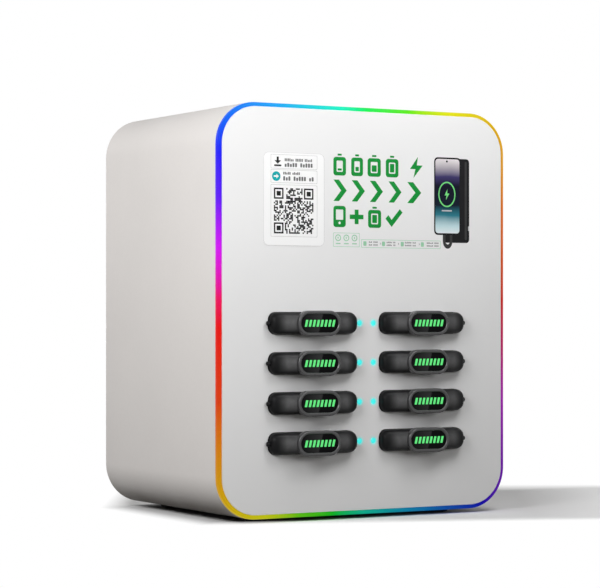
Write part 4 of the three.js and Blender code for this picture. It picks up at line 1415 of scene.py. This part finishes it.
class STATION_OT_stage(StationOperator):
    """Stage: pale floor, soft lamps, white surroundings and the camera"""

    bl_idname = "station.stage"
    bl_label = "Stage"

    def execute(self, context):
        stage = context.scene.station_stage
        self.floor(stage.azimuth)
        self.surroundings(stage.sky)
        # Each lamp's name, its place, where it points and how wide it is.
        for name, place, aim, size in (
                ("key", (-0.05, -0.48, 0.58), (0, -0.09, 0.18), 0.3),
                ("upper", (0.10, -0.36, 0.50), (0, -0.09, 0.20), 0.25),
                ("left", (-0.48, -0.36, 0.36), (-0.05, -0.09, 0.15), 0.3),
                ("fill", (0.12, -1.05, 0.32), (0, -0.09, 0.14), 0.4),
                ("side", (-0.60, 0.28, 0.40), (-0.12, 0, 0.15), 0.25),
                ("rear", (0.30, 1.20, 0.22), (0, 0.1, 0.15), 0.4),
                ("right", (0.95, 0.50, 0.20), (0.12, 0.05, 0.15), 0.36)):
            self.lamp(f"{name}_lamp", Vector(place), Vector(aim), size, getattr(stage, name))
        camera = bpy.data.cameras.new("camera")
        camera.lens = stage.lens
        camera.sensor_width = 36
        camera.shift_y = 0.031
        holder = bpy.data.objects.new("camera", camera)
        aim = Vector((-0.0038, 0.0024, stage.aim_height))
        away = Vector((-math.sin(stage.azimuth), -math.cos(stage.azimuth), 0))
        holder.location = aim + away * stage.distance
        holder.rotation_euler = (math.pi / 2, 0, -stage.azimuth)
        context.scene.collection.objects.link(holder)
        context.scene.camera = holder
        context.scene.view_settings.view_transform = "Standard"
        return {"FINISHED"}

    def floor(self, turn):
        """A wide pale disc that takes the shadow near the body and is plain white everywhere else.

        Its points lie on rings, at (radius times cosine, radius times sine, 0). The light that it throws
        back on to the object is dim. `turn` is the camera's azimuth, which says what is right and away.
        """
        sides = 96
        rings = np.array([0.0, 0.3, 0.8, 2.0, 6.0])[:, None]
        angle = np.arange(sides) * 2 * math.pi / sides
        level = np.zeros((len(rings), sides))
        points = np.stack([rings * np.cos(angle), rings * np.sin(angle), level], axis=-1).reshape(-1, 3)
        mesh = bpy.data.meshes.new("floor")
        mesh.from_pydata(points.tolist(), [], grid_faces(len(rings), sides, False))
        shape = bmesh.new()
        shape.from_mesh(mesh)
        bmesh.ops.remove_doubles(shape, verts=shape.verts, dist=1e-6)
        for face in shape.faces:
            face.normal_update()
            if face.normal.z < 0:
                face.normal_flip()
        shape.to_mesh(mesh)
        shape.free()
        floor = bpy.data.objects.new("floor", mesh)
        bpy.context.scene.collection.objects.link(floor)
        finish = Finish("floor_paper", roughness=0.9, specular=0.0)
        seen = finish.seen()
        grain = finish.spread(finish.noise(60, 3), 0.985, 1.0)
        dim = finish.mix(grain, (0.075, 0.069, 0.062), (0.081, 0.075, 0.067))
        bright = finish.mix(grain, (0.77, 0.77, 0.77), (0.79, 0.79, 0.79))
        finish.set(base=finish.mix(seen, dim, bright))
        across, deep = finish.axis(0), finish.axis(1)
        right = across * math.cos(turn) - deep * math.sin(turn)
        away = across * math.sin(turn) + deep * math.cos(turn)
        # How plain the floor is: a direction, the most that it adds, and where it starts and ends.
        plain = 0.0
        for place, most, start, end in (
                (0 - across, 1, 0.108, 0.130), (0 - right, 1, 0.135, 0.155),
                (right * 0.15 - away, 1, 0.092, 0.120), (away, 1, 0.175, 0.240),
                (right, 0.4, 0.17, 0.235), (right, 1, 0.35, 0.9)):
            plain = finish.maths("MAXIMUM", plain, finish.spread(place, 0, most, start, end))
        white = finish.node("ShaderNodeEmission", inputs={"Color": WHITE, "Strength": 1.0})
        shaded = Value(finish, finish.shader.outputs[0])
        both = finish.node("ShaderNodeMixShader", inputs={0: plain * seen, 1: shaded, 2: white})
        finish.feed(finish.tree.nodes["Material Output"].inputs["Surface"], both)
        mesh.materials.append(finish.material)

    def surroundings(self, sky):
        """Even pale light from all round, and plain white where the camera, gloss or glass sees it."""
        world = bpy.data.worlds.new("surroundings")
        bpy.context.scene.world = world
        world.use_nodes = True
        nodes = Nodes(world.node_tree)
        background = nodes.tree.nodes["Background"]
        nodes.feed(background.inputs["Strength"], nodes.spread(nodes.seen(), sky, 1, 0, 1))
        nodes.feed(background.inputs["Color"], WHITE)

    def lamp(self, name, place, aim, size, power):
        """A round soft lamp that points at a place and isn't seen itself."""
        lamp = bpy.data.lights.new(name, "AREA")
        lamp.shape = "DISK"
        lamp.size = size
        lamp.energy = power
        holder = bpy.data.objects.new(name, lamp)
        holder.visible_camera = False
        holder.location = place
        holder.rotation_euler = (aim - place).to_track_quat("-Z", "Y").to_euler()
        bpy.context.scene.collection.objects.link(holder)


class STATION_PT_panel(bpy.types.Panel):
    """Sidebar list of the station's operators and properties"""

    bl_idname = "STATION_PT_panel"
    bl_label = "Power-bank rental station"
    bl_space_type = "VIEW_3D"
    bl_region_type = "UI"
    bl_category = "Station"

    def draw(self, context):
        for operator in OPERATORS:
            self.layout.operator(operator.bl_idname)
        for group in PROPERTIES:
            box = self.layout.box()
            holder = getattr(context.scene, group)
            for name in holder.bl_rna.properties.keys():
                if name not in ("rna_type", "name"):
                    box.prop(holder, name)


OPERATORS = (
    STATION_OT_stage, STATION_OT_shell, STATION_OT_rim, STATION_OT_plate, STATION_OT_label,
    STATION_OT_print, STATION_OT_picture, STATION_OT_banks, STATION_OT_indicators, STATION_OT_rear,
    STATION_OT_feet, STATION_OT_inside,
)
PROPERTIES = {
    "station_sizes": StationSizes, "station_banks": BankSizes, "station_colours": StationColours,
    "station_stage": StageSizes,
}


def register():
    for group in (*PROPERTIES.values(), *OPERATORS, STATION_PT_panel):
        bpy.utils.register_class(group)
    for name, group in PROPERTIES.items():
        setattr(bpy.types.Scene, name, PointerProperty(type=group))


def unregister():
    for name in PROPERTIES:
        delattr(bpy.types.Scene, name)
    for group in reversed((*PROPERTIES.values(), *OPERATORS, STATION_PT_panel)):
        bpy.utils.unregister_class(group)


def main():
    register()
    for operator in OPERATORS:
        group, name = operator.bl_idname.split(".")
        getattr(getattr(bpy.ops, group), name)()


if __name__ == "__main__":
    main()
